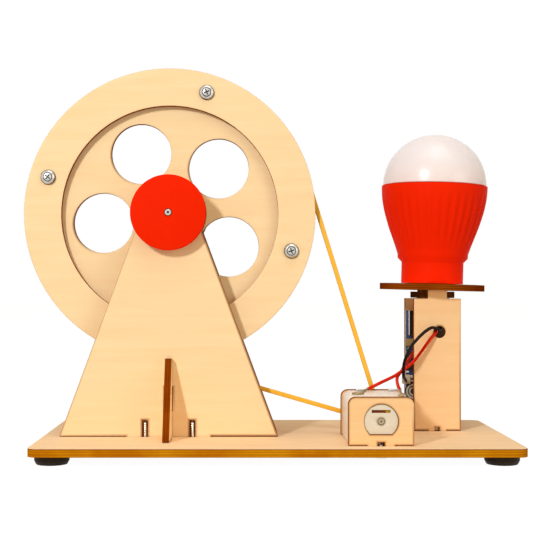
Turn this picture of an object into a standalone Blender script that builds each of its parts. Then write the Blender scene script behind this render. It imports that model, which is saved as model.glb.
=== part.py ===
"""Hand crank generator kit of laser-cut plywood.

A big belt wheel turns on a steel axle between two A-shaped uprights. A rubber belt runs
from the wheel to the small pulley of a generator, which feeds a lamp on a pillar.
Lengths are in metres. X runs along the base board, Y away from the front, Z up.
The origin is on the floor under the middle of the whole object.
"""

import math

import bmesh
import bpy
from mathutils import Matrix, Vector

MM = 0.001

# Sheet and clearances shared by all pieces
PLY = 3.0 * MM
SEAT_GAP = 0.3 * MM
RUN_GAP = 0.5 * MM
CUT_OVERRUN = 1.0 * MM

# Base board and its feet
BOARD_LENGTH = 210.0 * MM
BOARD_WIDTH = 108.0 * MM
BOARD_THICKNESS = 3.5 * MM
BOARD_CORNER_RADIUS = 4.5 * MM
FOOT_RADIUS = 7.5 * MM
FOOT_HEIGHT = 4.0 * MM
FOOT_EDGE_RADIUS = 1.0 * MM
FOOT_INSET_X = 9.0 * MM
FOOT_INSET_Y = 12.0 * MM

# Belt wheel, laminated from a web between two rings
WHEEL_OFFSET = 48.0 * MM
WHEEL_DEPTH = 52.3 * MM
AXLE_HEIGHT = 101.0 * MM
RING_RADIUS = 66.65 * MM
RING_BORE_RADIUS = 49.6 * MM
WEB_RADIUS = 64.0 * MM
WEB_HOLE_RADIUS = 13.75 * MM
WEB_HOLE_CIRCLE_RADIUS = 30.8 * MM
WEB_HOLE_COUNT = 5
WEB_HOLE_ANGLE = math.radians(43.3)
WHEEL_SCREW_COUNT = 4
WHEEL_SCREW_CIRCLE_RADIUS = 58.1 * MM
WHEEL_SCREW_ANGLE = math.radians(73.1)
WHEEL_SCREW_RADIUS = 1.3 * MM
WHEEL_SCREW_HEAD_RADIUS = 3.45 * MM
WHEEL_SCREW_HEAD_HEIGHT = 1.8 * MM
CROSS_LENGTH_SHARE = 1.1
CROSS_WIDTH_SHARE = 0.24
CROSS_DEPTH_SHARE = 0.5
CROSS_TURN = math.radians(25.0)
WHEEL_SIDE_GAP = 4.0 * MM

# Axle, its spacers, the red disc on its front end and the crank on its rear end
AXLE_RADIUS = 1.5 * MM
AXLE_CHAMFER = 0.3 * MM
AXLE_END = 0.4 * MM
SPACER_RADIUS = 3.2 * MM
DISC_RADIUS = 17.0 * MM
DISC_THICKNESS = 3.0 * MM
DISC_EDGE_RADIUS = 0.5 * MM
DISC_HUB_RADIUS = 5.0 * MM
DISC_HUB_LENGTH = 2.5 * MM
CRANK_THROW = 38.0 * MM
CRANK_THICKNESS = 3.5 * MM
CRANK_HUB_RADIUS = 7.5 * MM
CRANK_END_RADIUS = 5.5 * MM
CRANK_PIN_RADIUS = 1.5 * MM
CRANK_PIN_HEAD_RADIUS = 3.2 * MM
CRANK_PIN_HEAD_HEIGHT = 1.6 * MM
GRIP_RADIUS = 6.0 * MM
GRIP_WAIST_RADIUS = 5.0 * MM
GRIP_LENGTH = 22.0 * MM
GRIP_EDGE_RADIUS = 1.0 * MM

# Uprights and the braces that stand against them
UPRIGHT_FOOT_WIDTH = 98.7 * MM
UPRIGHT_NECK_WIDTH = 24.2 * MM
UPRIGHT_HEAD_RADIUS = 17.0 * MM
UPRIGHT_TAB_WIDTH = 38.8 * MM
SCREW_SLOT_OFFSET = 10.7 * MM
SCREW_SLOT_WIDTH = 2.5 * MM
SCREW_SLOT_HEIGHT = 7.5 * MM
BRACE_FOOT = 21.0 * MM
BRACE_TOP = 3.0 * MM
BRACE_TOE = 2.0 * MM
BRACE_HEIGHT = 35.4 * MM
BRACE_TAB_LOW = 12.0 * MM
BRACE_TAB_HEIGHT = 10.0 * MM
BRACE_FOOT_TAB_START = 6.0 * MM
BRACE_FOOT_TAB_LENGTH = 9.0 * MM
BASE_SCREW_HEAD_RADIUS = 2.9 * MM
BASE_SCREW_HEAD_HEIGHT = 1.6 * MM
# Outline of a domed screw head: shares of its radius and height, from the middle outwards
SCREW_CROWN_SHARES = ((0.0, 1.0), (0.588, 0.93), (0.951, 0.62), (1.0, 0.2), (1.0, 0.0))

# Rubber belt and the pulley on the generator's shaft
BELT_SIZE = 2.0 * MM
PULLEY_WIDTH = 4.6 * MM
PULLEY_FLANGE_RADIUS = 5.5 * MM
PULLEY_FLANGE_THICKNESS = 0.7 * MM
PULLEY_GROOVE_RADIUS = 2.6 * MM

# Generator in its two-plate bracket
MOTOR_OFFSET = 44.2 * MM
MOTOR_SHAFT_HEIGHT = 10.5 * MM
MOTOR_PLATE_PITCH = 37.0 * MM
MOTOR_PLATE_WIDTH = 27.9 * MM
MOTOR_PLATE_HEIGHT = 20.8 * MM
MOTOR_PLATE_CORNER_RADIUS = 3.2 * MM
MOTOR_TAB_WIDTH = 12.3 * MM
MOTOR_NOTCH_WIDTH = 2.9 * MM
MOTOR_NOTCH_HEIGHT = 1.6 * MM
CAP_HOLE_RADIUS = 7.3 * MM
CAP_FLAT_DROP = 5.6 * MM
SHAFT_WINDOW_RADIUS = 3.4 * MM
HOUSING_WIDTH = 26.5 * MM
HOUSING_CORNER_RADIUS = 3.4 * MM
HOUSING_BORE_RADIUS = 8.2 * MM
HOUSING_REAR_WALL = 2.0 * MM
CAP_LENGTH = 6.3 * MM
CAP_SLOT_WIDTH = 7.8 * MM
CAP_SLOT_HEIGHT = 1.2 * MM
CAP_SLOT_RISE = 4.1 * MM
CAP_SLOT_DEPTH = 1.6 * MM
CAP_BEARING_DEPTH = 3.0 * MM
CAP_RING_RADIUS = 1.9 * MM
CAP_RING_WIDTH = 0.35 * MM
CAP_RING_DEPTH = 0.3 * MM
SHAFT_RADIUS = 1.0 * MM
MAGNET_THICKNESS = 1.3 * MM
MAGNET_SPAN = math.radians(125.0)
MAGNET_LENGTH = 17.0 * MM
COMMUTATOR_RADIUS = 2.2 * MM
COMMUTATOR_LENGTH = 5.0 * MM
ARMATURE_POLE_SPAN = math.radians(95.0)
ARMATURE_NECK_WIDTH = 2.6 * MM
ARMATURE_SHOE = 1.3 * MM
ARMATURE_HUB_RADIUS = 2.8 * MM
BRUSH_WIDTH = 2.4 * MM
BRUSH_THICKNESS = 1.2 * MM
TERMINAL_OFFSETS = (-5.2 * MM, 9.4 * MM)
TERMINAL_LENGTH = 4.8 * MM
TERMINAL_WIDTH = 2.6 * MM
TERMINAL_THICKNESS = 0.7 * MM
TERMINAL_INSET = 4.2 * MM

# Pillar, lamp seat and shelf
PILLAR_OFFSET = 76.9 * MM
PILLAR_REAR_INSET = 14.8 * MM
PILLAR_PITCH = 29.7 * MM
PILLAR_WIDTH = 22.1 * MM
PILLAR_HEIGHT = 62.2 * MM
PILLAR_TOP_TAB_WIDTH = 9.1 * MM
PILLAR_FOOT_TAB_WIDTH = 9.4 * MM
PILLAR_NOTCH = 1.7 * MM
WIRE_HOLE_RADIUS = 2.8 * MM
WIRE_HOLE_OFFSET = 1.0 * MM
WIRE_HOLE_DROP = 15.7 * MM
LAMP_SEAT_WIDTH = 16.0 * MM
SHELF_RADIUS = 25.0 * MM
SHELF_LEAN = math.radians(1.5)
BOSS_HOLE_RADIUS = 10.5 * MM

# Lamp: ribbed housing, translucent dome and the disc that carries the light chips
BULB_HEIGHT = 47.9 * MM
BULB_NECK_RADIUS = 14.8 * MM
BULB_COLLAR_RADIUS = 16.8 * MM
BULB_RIM_RADIUS = 25.3 * MM
BULB_WALL = 1.6 * MM
NECK_TOP_SHARE = 0.209
COLLAR_LOW_SHARE = 0.25
COLLAR_TOP_SHARE = 0.294
# Height and swell of the flared part: shares of the way from the collar to the rim
FLARE_SHARES = ((0.17, 0.36), (0.38, 0.66), (0.57, 0.83), (0.79, 0.95), (1.0, 1.0))
RIB_COUNT = 36
RIB_DEPTH = 0.5 * MM
DOME_RADIUS = 24.7 * MM
DOME_HEIGHT = 24.0 * MM
DOME_WALL = 1.3 * MM
DOME_STEPS = 8
LED_BOARD_THICKNESS = 1.5 * MM
LED_BOARD_DROP = 4.5 * MM
LED_LEDGE = 1.6 * MM

# Converter board on the pillar's rear plate
PCB_WIDTH = 20.0 * MM
PCB_HEIGHT = 44.0 * MM
PCB_THICKNESS = 1.6 * MM
PCB_SIDE_REACH = 1.3 * MM
PCB_DROP = 6.0 * MM
FOAM_WIDTH = 15.0 * MM
FOAM_HEIGHT = 34.0 * MM
FOAM_THICKNESS = 2.0 * MM
SOCKET_WIDTH = 13.0 * MM
SOCKET_DEPTH = 5.6 * MM
SOCKET_HEIGHT = 12.0 * MM
SOCKET_WALL = 0.6 * MM
SOCKET_TONGUE = 1.4 * MM
INDUCTOR_RADIUS = 3.6 * MM
INDUCTOR_LENGTH = 4.0 * MM
INDUCTOR_CORE_SHARE = 0.8
INDUCTOR_RIM_SHARE = 0.7
INDUCTOR_RAISE = 4.6 * MM
CAPACITOR_WIDTH = 4.5 * MM
CAPACITOR_HEIGHT = 3.6 * MM
CAPACITOR_DEPTH = 2.2 * MM
CONNECTOR_WIDTH = 3.6 * MM
CONNECTOR_HEIGHT = 4.4 * MM
CONNECTOR_DEPTH = 4.0 * MM
CONNECTOR_RAISE = 10.4 * MM

# Leads of stranded wire, in millimetres. The points by the generator are measured from its
# shaft at the rear plate, and the points by the pillar from its front plate's shoulders.
LEAD_DIAMETER = 1.5 * MM
LEAD_POINT_SPACING = 3.8 * MM
LAMP_LEAD_BY_GENERATOR = (
    (-2.1, -5.5, 11.0), (0.6, -3.6, 12.0), (3.9, -1.0, 13.3), (7.9, 4.0, 14.5),
    (11.9, 9.0, 15.8), (15.7, 12.0, 17.9),
)
LAMP_LEAD_BY_PILLAR = (
    (-13.6, -3.5, -31.3), (-10.9, -4.0, -28.6), (-8.5, -4.5, -25.4), (-6.1, -4.6, -22.0),
    (-3.7, -4.1, -18.7), (-1.1, -2.1, -16.3), (-0.1, 1.5, -14.8), (-0.2, 6.0, -11.2),
    (-0.7, 10.3, -5.8), (-0.9, 13.5, 0.0), (-0.9, 14.7, 6.0), (-0.9, 14.9, 13.0),
)
RETURN_LEAD_BY_PILLAR = (
    (1.3, 14.9, 13.0), (1.3, 14.7, 6.0), (1.3, 13.5, 0.0), (1.7, 10.3, -5.8),
    (2.2, 6.0, -10.6), (2.1, 1.7, -13.8), (0.7, -1.5, -14.3), (-1.3, -3.5, -13.8),
    (-3.7, -5.5, -13.6), (-7.6, -9.1, -15.7), (-11.4, -11.9, -18.9), (-14.3, -12.9, -22.3),
    (-15.9, -12.5, -26.0), (-16.8, -10.7, -29.2), (-16.8, -7.5, -32.4), (-16.5, -5.1, -35.0),
    (-15.9, -1.5, -36.7), (-14.8, 4.5, -37.9), (-13.3, 11.5, -39.1), (-12.3, 17.1, -40.1),
    (-12.1, 19.4, -40.4),
)
BOARD_LEAD_BY_GENERATOR = (
    (12.7, -5.5, 10.7), (13.7, -3.2, 11.8), (13.6, 1.0, 13.2), (12.9, 6.0, 14.3),
    (13.9, 12.6, 15.5),
)
BOARD_LEAD_BY_PILLAR = (
    (-16.4, 2.5, -34.3), (-13.3, 8.5, -30.9), (-9.8, 15.9, -28.1), (-8.1, 21.1, -26.8),
    (-7.7, 23.6, -26.6),
)

# Where the main pieces stand, worked out from the sizes above
LEFT_REACH = max(BOARD_LENGTH / 2, WHEEL_OFFSET + RING_RADIUS)
BOARD_X = (LEFT_REACH - BOARD_LENGTH / 2) / 2
BOARD_UNDERSIDE_Z = FOOT_HEIGHT + SEAT_GAP
BOARD_TOP_Z = BOARD_UNDERSIDE_Z + BOARD_THICKNESS
AXLE_X = BOARD_X - WHEEL_OFFSET
AXLE_Z = BOARD_TOP_Z + AXLE_HEIGHT
WEB_Y = WHEEL_DEPTH - BOARD_WIDTH / 2
RING_PITCH = PLY + SEAT_GAP
UPRIGHT_PITCH = RING_PITCH + PLY + WHEEL_SIDE_GAP
MOTOR_X = BOARD_X + MOTOR_OFFSET
MOTOR_Z = BOARD_TOP_Z + MOTOR_SHAFT_HEIGHT
MOTOR_REAR_Y = WEB_Y - PULLEY_WIDTH / 2 - RUN_GAP - PLY / 2
MOTOR_FRONT_Y = MOTOR_REAR_Y - MOTOR_PLATE_PITCH
PILLAR_X = BOARD_X + PILLAR_OFFSET
PILLAR_REAR_Y = BOARD_WIDTH / 2 - PILLAR_REAR_INSET
PILLAR_FRONT_Y = PILLAR_REAR_Y - PILLAR_PITCH
SHOULDER_Z = BOARD_TOP_Z + PILLAR_HEIGHT
LAMP_Y = (PILLAR_FRONT_Y + PILLAR_REAR_Y) / 2
SEAT_Z = SHOULDER_Z + SEAT_GAP
SHELF_Z = SEAT_Z + PLY + 2 * SEAT_GAP
BULB_Z = SHELF_Z + PLY + SEAT_GAP
AXLE_BORE_RADIUS = AXLE_RADIUS + SEAT_GAP
SLOT_THICKNESS = PLY + 2 * SEAT_GAP
BELT_WHEEL_RADIUS = WEB_RADIUS + SEAT_GAP + BELT_SIZE / 2
BELT_PULLEY_RADIUS = PULLEY_GROOVE_RADIUS + SEAT_GAP + BELT_SIZE / 2
PCB_LEFT_X = PILLAR_X - PILLAR_WIDTH / 2 - PCB_SIDE_REACH
PCB_LOW_Z = SHOULDER_Z - PCB_DROP - PCB_HEIGHT
PCB_REAR_Y = PILLAR_REAR_Y - PLY / 2 - FOAM_THICKNESS - 2 * SEAT_GAP
PCB_FRONT_Y = PCB_REAR_Y - PCB_THICKNESS

# Turns that lay a flat outline or a turned profile into its plane
FLAT = (0.0, 0.0, 0.0)
FACING_FRONT = (math.pi / 2, 0.0, 0.0)
FACING_RIGHT = (math.pi / 2, 0.0, math.pi / 2)

PLY_COLOUR = (0.92, 0.66, 0.36)
RED_PLASTIC = (0.90, 0.03, 0.0)
STEEL = (0.62, 0.62, 0.60)
BLACK_RUBBER = (0.03, 0.025, 0.02)


def clear_scene():
    for old in list(bpy.data.objects):
        bpy.data.objects.remove(old, do_unlink=True)


def new_collection(name):
    collection = bpy.data.collections.new(name)
    bpy.context.scene.collection.children.link(collection)
    return collection


clear_scene()
PARTS = new_collection("hand_crank_generator")
CUTTERS = new_collection("cutters")


def colour(piece, base, roughness=0.6, metallic=0.0):
    """Give a piece a material of its own."""
    material = bpy.data.materials.new(piece.name)
    material.use_nodes = True
    shader = material.node_tree.nodes["Principled BSDF"]
    shader.inputs["Base Color"].default_value = (*base, 1.0)
    shader.inputs["Roughness"].default_value = roughness
    shader.inputs["Metallic"].default_value = metallic
    material.diffuse_color = (*base, 1.0)
    piece.data.materials.clear()
    piece.data.materials.append(material)
    return piece


def arc(centre, radius, start, end, count):
    """Points on an arc, both ends included."""
    angles = [start + (end - start) * i / (count - 1) for i in range(count)]
    return [(centre[0] + radius * math.cos(a), centre[1] + radius * math.sin(a)) for a in angles]


def circle(centre, radius, count):
    """Points round a full circle."""
    return arc(centre, radius, 0.0, 2 * math.pi, count + 1)[:-1]


def ring_places(radius, start, count):
    """Evenly spaced places round a circle, the first at the start angle."""
    angles = [start + i * 2 * math.pi / count for i in range(count)]
    return [(radius * math.cos(a), radius * math.sin(a)) for a in angles]


def rectangle(centre, width, height):
    x, y = centre
    return [
        (x - width / 2, y - height / 2),
        (x + width / 2, y - height / 2),
        (x + width / 2, y + height / 2),
        (x - width / 2, y + height / 2),
    ]


def weld(mesh):
    """Join the loose caps of a converted curve to its sides."""
    shape = bmesh.new()
    shape.from_mesh(mesh)
    bmesh.ops.remove_doubles(shape, verts=shape.verts, dist=SEAT_GAP / 100)
    shape.to_mesh(mesh)
    shape.free()


def as_mesh(source, name, collection):
    """Turn a curve, or an object with live modifiers, into a plain mesh object."""
    graph = bpy.context.evaluated_depsgraph_get()
    mesh = bpy.data.meshes.new_from_object(source.evaluated_get(graph))
    mesh.name = name
    weld(mesh)
    piece = bpy.data.objects.new(name, mesh)
    collection.objects.link(piece)
    piece.matrix_world = source.matrix_world.copy()
    bpy.data.objects.remove(source, do_unlink=True)
    piece.name = name
    return piece


def sheet_piece(name, loops, thickness, place, turn, collection=PARTS):
    """A flat piece cut from sheet: the first loop is its outline, the others its holes."""
    curve = bpy.data.curves.new(name, "CURVE")
    curve.dimensions = "2D"
    curve.fill_mode = "BOTH"
    curve.extrude = thickness / 2
    for loop in loops:
        spline = curve.splines.new("POLY")
        spline.points.add(len(loop) - 1)
        for point, (u, v) in zip(spline.points, loop):
            point.co = (u, v, 0.0, 1.0)
        spline.use_cyclic_u = True
    source = bpy.data.objects.new(name, curve)
    collection.objects.link(source)
    source.location = place
    source.rotation_euler = turn
    bpy.context.view_layer.update()
    return as_mesh(source, name, collection)


def turned_piece(name, profile, place, turn, steps, closed=False, collection=PARTS):
    """A turned piece: its profile of (radius, height) runs down the outside, top first."""
    mesh = bpy.data.meshes.new(name)
    edges = [(i, i + 1) for i in range(len(profile) - 1)]
    if closed:
        edges.append((len(profile) - 1, 0))
    mesh.from_pydata([(radius, 0.0, height) for radius, height in profile], edges, [])
    piece = bpy.data.objects.new(name, mesh)
    collection.objects.link(piece)
    piece.location = place
    piece.rotation_euler = turn
    screw = piece.modifiers.new("turn", "SCREW")
    screw.steps = steps
    screw.render_steps = steps
    screw.use_merge_vertices = True
    screw.merge_threshold = SEAT_GAP / 100
    bpy.context.view_layer.update()
    return piece


def block(name, low, high, collection=PARTS):
    """A rectangular piece between two opposite corners."""
    mesh = bpy.data.meshes.new(name)
    shape = bmesh.new()
    bmesh.ops.create_cube(shape, size=1.0)
    size = [b - a for a, b in zip(low, high)]
    bmesh.ops.scale(shape, vec=size, verts=shape.verts)
    shape.to_mesh(mesh)
    shape.free()
    piece = bpy.data.objects.new(name, mesh)
    collection.objects.link(piece)
    piece.location = [(a + b) / 2 for a, b in zip(low, high)]
    bpy.context.view_layer.update()
    return piece


def lead_route(by_generator, by_pillar):
    """A lead's points, from those by the generator's shaft and those by the pillar."""
    shaft = Vector((MOTOR_X, MOTOR_REAR_Y, MOTOR_Z))
    shoulder = Vector((PILLAR_X, PILLAR_FRONT_Y, SHOULDER_Z))
    route = [shaft + Vector(p) * MM for p in by_generator]
    return route + [shoulder + Vector(p) * MM for p in by_pillar]


def wire_piece(name, points, diameter):
    """A round wire along a smooth curve through its route's points."""
    ends = [2 * points[0] - points[1], *points, 2 * points[-1] - points[-2]]
    fine = []
    for a, b, c, d in zip(ends, ends[1:], ends[2:], ends[3:]):
        span = (c - b).length
        count = max(1, round(span / LEAD_POINT_SPACING))
        for i in range(count):
            t = i / count
            near = 2 * b + (c - a) * t + (2 * a - 5 * b + 4 * c - d) * t * t
            fine.append((near + (3 * b - a - 3 * c + d) * t**3) / 2)
    fine.append(points[-1])
    curve = bpy.data.curves.new(name, "CURVE")
    curve.dimensions = "3D"
    curve.bevel_depth = diameter / 2
    curve.bevel_resolution = 2
    curve.use_fill_caps = True
    spline = curve.splines.new("POLY")
    spline.points.add(len(fine) - 1)
    for point, place in zip(spline.points, fine):
        point.co = (*place, 1.0)
    source = bpy.data.objects.new(name, curve)
    PARTS.objects.link(source)
    bpy.context.view_layer.update()
    return as_mesh(source, name, PARTS)


def cut(piece, cutter):
    """Take one shape away from a piece and keep the cutter out of sight."""
    cutter.hide_render = True
    cutter.display_type = "WIRE"
    modifier = piece.modifiers.new(cutter.name, "BOOLEAN")
    modifier.operation = "DIFFERENCE"
    modifier.object = cutter


def axis_empty(name, place, parent=None):
    """An empty on a joint's axis, which carries the pieces that turn there."""
    empty = bpy.data.objects.new(name, None)
    empty.empty_display_size = RING_RADIUS / 4
    PARTS.objects.link(empty)
    empty.location = place
    bpy.context.view_layer.update()
    if parent:
        carry(parent, empty)
    return empty


def carry(parent, piece):
    """Parent a piece and leave it where it stands."""
    bpy.context.view_layer.update()
    piece.parent = parent
    piece.matrix_parent_inverse = parent.matrix_world.inverted()


def smooth(piece):
    piece.data.shade_smooth()
    piece.data.set_sharp_from_angle(angle=math.radians(35))
    return piece


def make_board():
    """Base board with a slot for every tab that stands in it."""
    half_l = BOARD_LENGTH / 2 - BOARD_CORNER_RADIUS
    half_w = BOARD_WIDTH / 2 - BOARD_CORNER_RADIUS
    corners = ((half_l, half_w), (-half_l, half_w), (-half_l, -half_w), (half_l, -half_w))
    outline = []
    for i, corner in enumerate(corners):
        start = i * math.pi / 2
        outline += arc(corner, BOARD_CORNER_RADIUS, start, start + math.pi / 2, 6)
    loops = [outline]
    for side in (-1, 1):
        wide = UPRIGHT_TAB_WIDTH + 2 * SEAT_GAP
        centre = (AXLE_X - BOARD_X, WEB_Y + side * UPRIGHT_PITCH)
        loops.append(rectangle(centre, wide, SLOT_THICKNESS))
        reach = UPRIGHT_PITCH + PLY / 2 + SEAT_GAP
        reach += BRACE_FOOT_TAB_START + BRACE_FOOT_TAB_LENGTH / 2
        centre = (AXLE_X - BOARD_X, WEB_Y + side * reach)
        loops.append(rectangle(centre, SLOT_THICKNESS, BRACE_FOOT_TAB_LENGTH + 2 * SEAT_GAP))
    for y in (MOTOR_FRONT_Y, MOTOR_REAR_Y):
        centre = (MOTOR_X - BOARD_X, y)
        loops.append(rectangle(centre, MOTOR_TAB_WIDTH + 2 * SEAT_GAP, SLOT_THICKNESS))
    for y in (PILLAR_FRONT_Y, PILLAR_REAR_Y):
        centre = (PILLAR_X - BOARD_X, y)
        loops.append(rectangle(centre, PILLAR_FOOT_TAB_WIDTH + 2 * SEAT_GAP, SLOT_THICKNESS))
    place = (BOARD_X, 0.0, (BOARD_UNDERSIDE_Z + BOARD_TOP_Z) / 2)
    colour(sheet_piece("base_board", loops, BOARD_THICKNESS, place, FLAT), PLY_COLOUR)


def make_feet():
    """Four round rubber feet with a rounded lower edge."""
    rounding = arc(
        (FOOT_RADIUS - FOOT_EDGE_RADIUS, FOOT_EDGE_RADIUS), FOOT_EDGE_RADIUS, 0.0, -math.pi / 2, 4
    )
    profile = [(0.0, FOOT_HEIGHT), (FOOT_RADIUS, FOOT_HEIGHT), *rounding, (0.0, 0.0)]
    for x_side, x_name in ((-1, "left"), (1, "right")):
        for y_side, y_name in ((-1, "front"), (1, "rear")):
            x = BOARD_X + x_side * (BOARD_LENGTH / 2 - FOOT_INSET_X)
            y = y_side * (BOARD_WIDTH / 2 - FOOT_INSET_Y)
            foot = turned_piece(f"foot_{y_name}_{x_name}", profile, (x, y, 0.0), FLAT, 24)
            colour(foot, BLACK_RUBBER, 0.8)


def tab_edge(half_width, half_tab, notches):
    """Lower edge of a standing plate from left to right: its shoulders, tab and notches.

    Heights are measured from the top of the board. A notch is (middle, width, height).
    """
    edge = [(-half_width, SEAT_GAP), (-half_tab, SEAT_GAP), (-half_tab, -BOARD_THICKNESS)]
    for middle, width, height in notches:
        edge.append((middle - width / 2, -BOARD_THICKNESS))
        edge.append((middle - width / 2, height))
        edge.append((middle + width / 2, height))
        edge.append((middle + width / 2, -BOARD_THICKNESS))
    return edge + [(half_tab, -BOARD_THICKNESS), (half_tab, SEAT_GAP), (half_width, SEAT_GAP)]


def make_uprights():
    """A-shaped uprights: a tapered leg with a round head that holds the axle."""
    half_foot = UPRIGHT_FOOT_WIDTH / 2
    half_neck = UPRIGHT_NECK_WIDTH / 2
    rise = AXLE_HEIGHT - SEAT_GAP
    run = half_foot - half_neck
    # Where the straight side runs into the round head, measured down from the axle
    a = run * run + rise * rise
    b = run * half_neck
    c = half_neck**2 - UPRIGHT_HEAD_RADIUS**2
    drop = (math.sqrt(b * b - a * c) - b) / a
    meet = (half_neck + drop * run, -drop * rise)
    start = math.atan2(meet[1], meet[0])
    head = arc((0.0, AXLE_HEIGHT), UPRIGHT_HEAD_RADIUS, start, math.pi - start, 33)
    notches = [
        (side * SCREW_SLOT_OFFSET, SCREW_SLOT_WIDTH, SCREW_SLOT_HEIGHT) for side in (-1, 1)
    ]
    outline = tab_edge(half_foot, UPRIGHT_TAB_WIDTH / 2, notches) + head
    bore = circle((0.0, AXLE_HEIGHT), AXLE_BORE_RADIUS, 24)
    brace_slot = rectangle(
        (0.0, BRACE_TAB_LOW + BRACE_TAB_HEIGHT / 2), SLOT_THICKNESS, BRACE_TAB_HEIGHT + 2 * SEAT_GAP
    )
    for side, name in ((-1, "front_upright"), (1, "rear_upright")):
        place = (AXLE_X, WEB_Y + side * UPRIGHT_PITCH, BOARD_TOP_Z)
        loops = [outline, bore, brace_slot]
        colour(sheet_piece(name, loops, PLY, place, FACING_FRONT), PLY_COLOUR)


def make_braces():
    """Gussets that slot into the board and through the uprights."""
    face = PLY / 2 + SEAT_GAP
    tab_end = BRACE_FOOT_TAB_START + BRACE_FOOT_TAB_LENGTH
    tab_top = BRACE_TAB_LOW + BRACE_TAB_HEIGHT
    outline = [
        (0.0, SEAT_GAP),
        (BRACE_FOOT_TAB_START, SEAT_GAP),
        (BRACE_FOOT_TAB_START, -BOARD_THICKNESS),
        (tab_end, -BOARD_THICKNESS),
        (tab_end, SEAT_GAP),
        (BRACE_FOOT, SEAT_GAP),
        (BRACE_FOOT, BRACE_TOE),
        (BRACE_TOP, BRACE_HEIGHT),
        (0.0, BRACE_HEIGHT),
        (0.0, tab_top),
        (-PLY - SEAT_GAP, tab_top),
        (-PLY - SEAT_GAP, BRACE_TAB_LOW),
        (0.0, BRACE_TAB_LOW),
    ]
    for side, name in ((-1, "front_brace"), (1, "rear_brace")):
        points = [(side * u, v) for u, v in outline]
        y = WEB_Y + side * (UPRIGHT_PITCH + face)
        brace = sheet_piece(name, [points], PLY, (AXLE_X, y, BOARD_TOP_Z), FACING_RIGHT)
        colour(brace, PLY_COLOUR)


def screw_profile(head_radius, head_height, shank_radius, length):
    """Domed head above zero and a shank with a pointed end below."""
    crown = [(head_radius * out, head_height * up) for out, up in SCREW_CROWN_SHARES]
    shank = [(shank_radius, 0.0), (shank_radius, 2 * shank_radius - length), (0.0, -length)]
    return crown + shank


def make_base_screws():
    """Screws driven up through the board into the uprights and the generator's bracket."""
    names = {-1: "left", 1: "right"}
    seats = []
    for y_side, y_name in ((-1, "front"), (1, "rear")):
        for x_side, x_name in names.items():
            x = AXLE_X + x_side * SCREW_SLOT_OFFSET
            y = WEB_Y + y_side * UPRIGHT_PITCH
            reach = SCREW_SLOT_HEIGHT - SEAT_GAP
            seats.append((f"upright_screw_{y_name}_{x_name}", x, y, SCREW_SLOT_WIDTH, reach))
    reach = MOTOR_NOTCH_HEIGHT - SEAT_GAP
    seats.append(("motor_screw_front", MOTOR_X, MOTOR_FRONT_Y, MOTOR_NOTCH_WIDTH, reach))
    seats.append(("motor_screw_rear", MOTOR_X, MOTOR_REAR_Y, MOTOR_NOTCH_WIDTH, reach))
    for name, x, y, slot, reach in seats:
        length = BOARD_THICKNESS + SEAT_GAP + reach
        profile = screw_profile(
            BASE_SCREW_HEAD_RADIUS, BASE_SCREW_HEAD_HEIGHT, slot / 2 - SEAT_GAP, length
        )
        place = (x, y, BOARD_UNDERSIDE_Z - SEAT_GAP)
        screw = turned_piece(name, profile, place, (math.pi, 0.0, 0.0), 12)
        colour(screw, STEEL, 0.3, 1.0)


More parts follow.
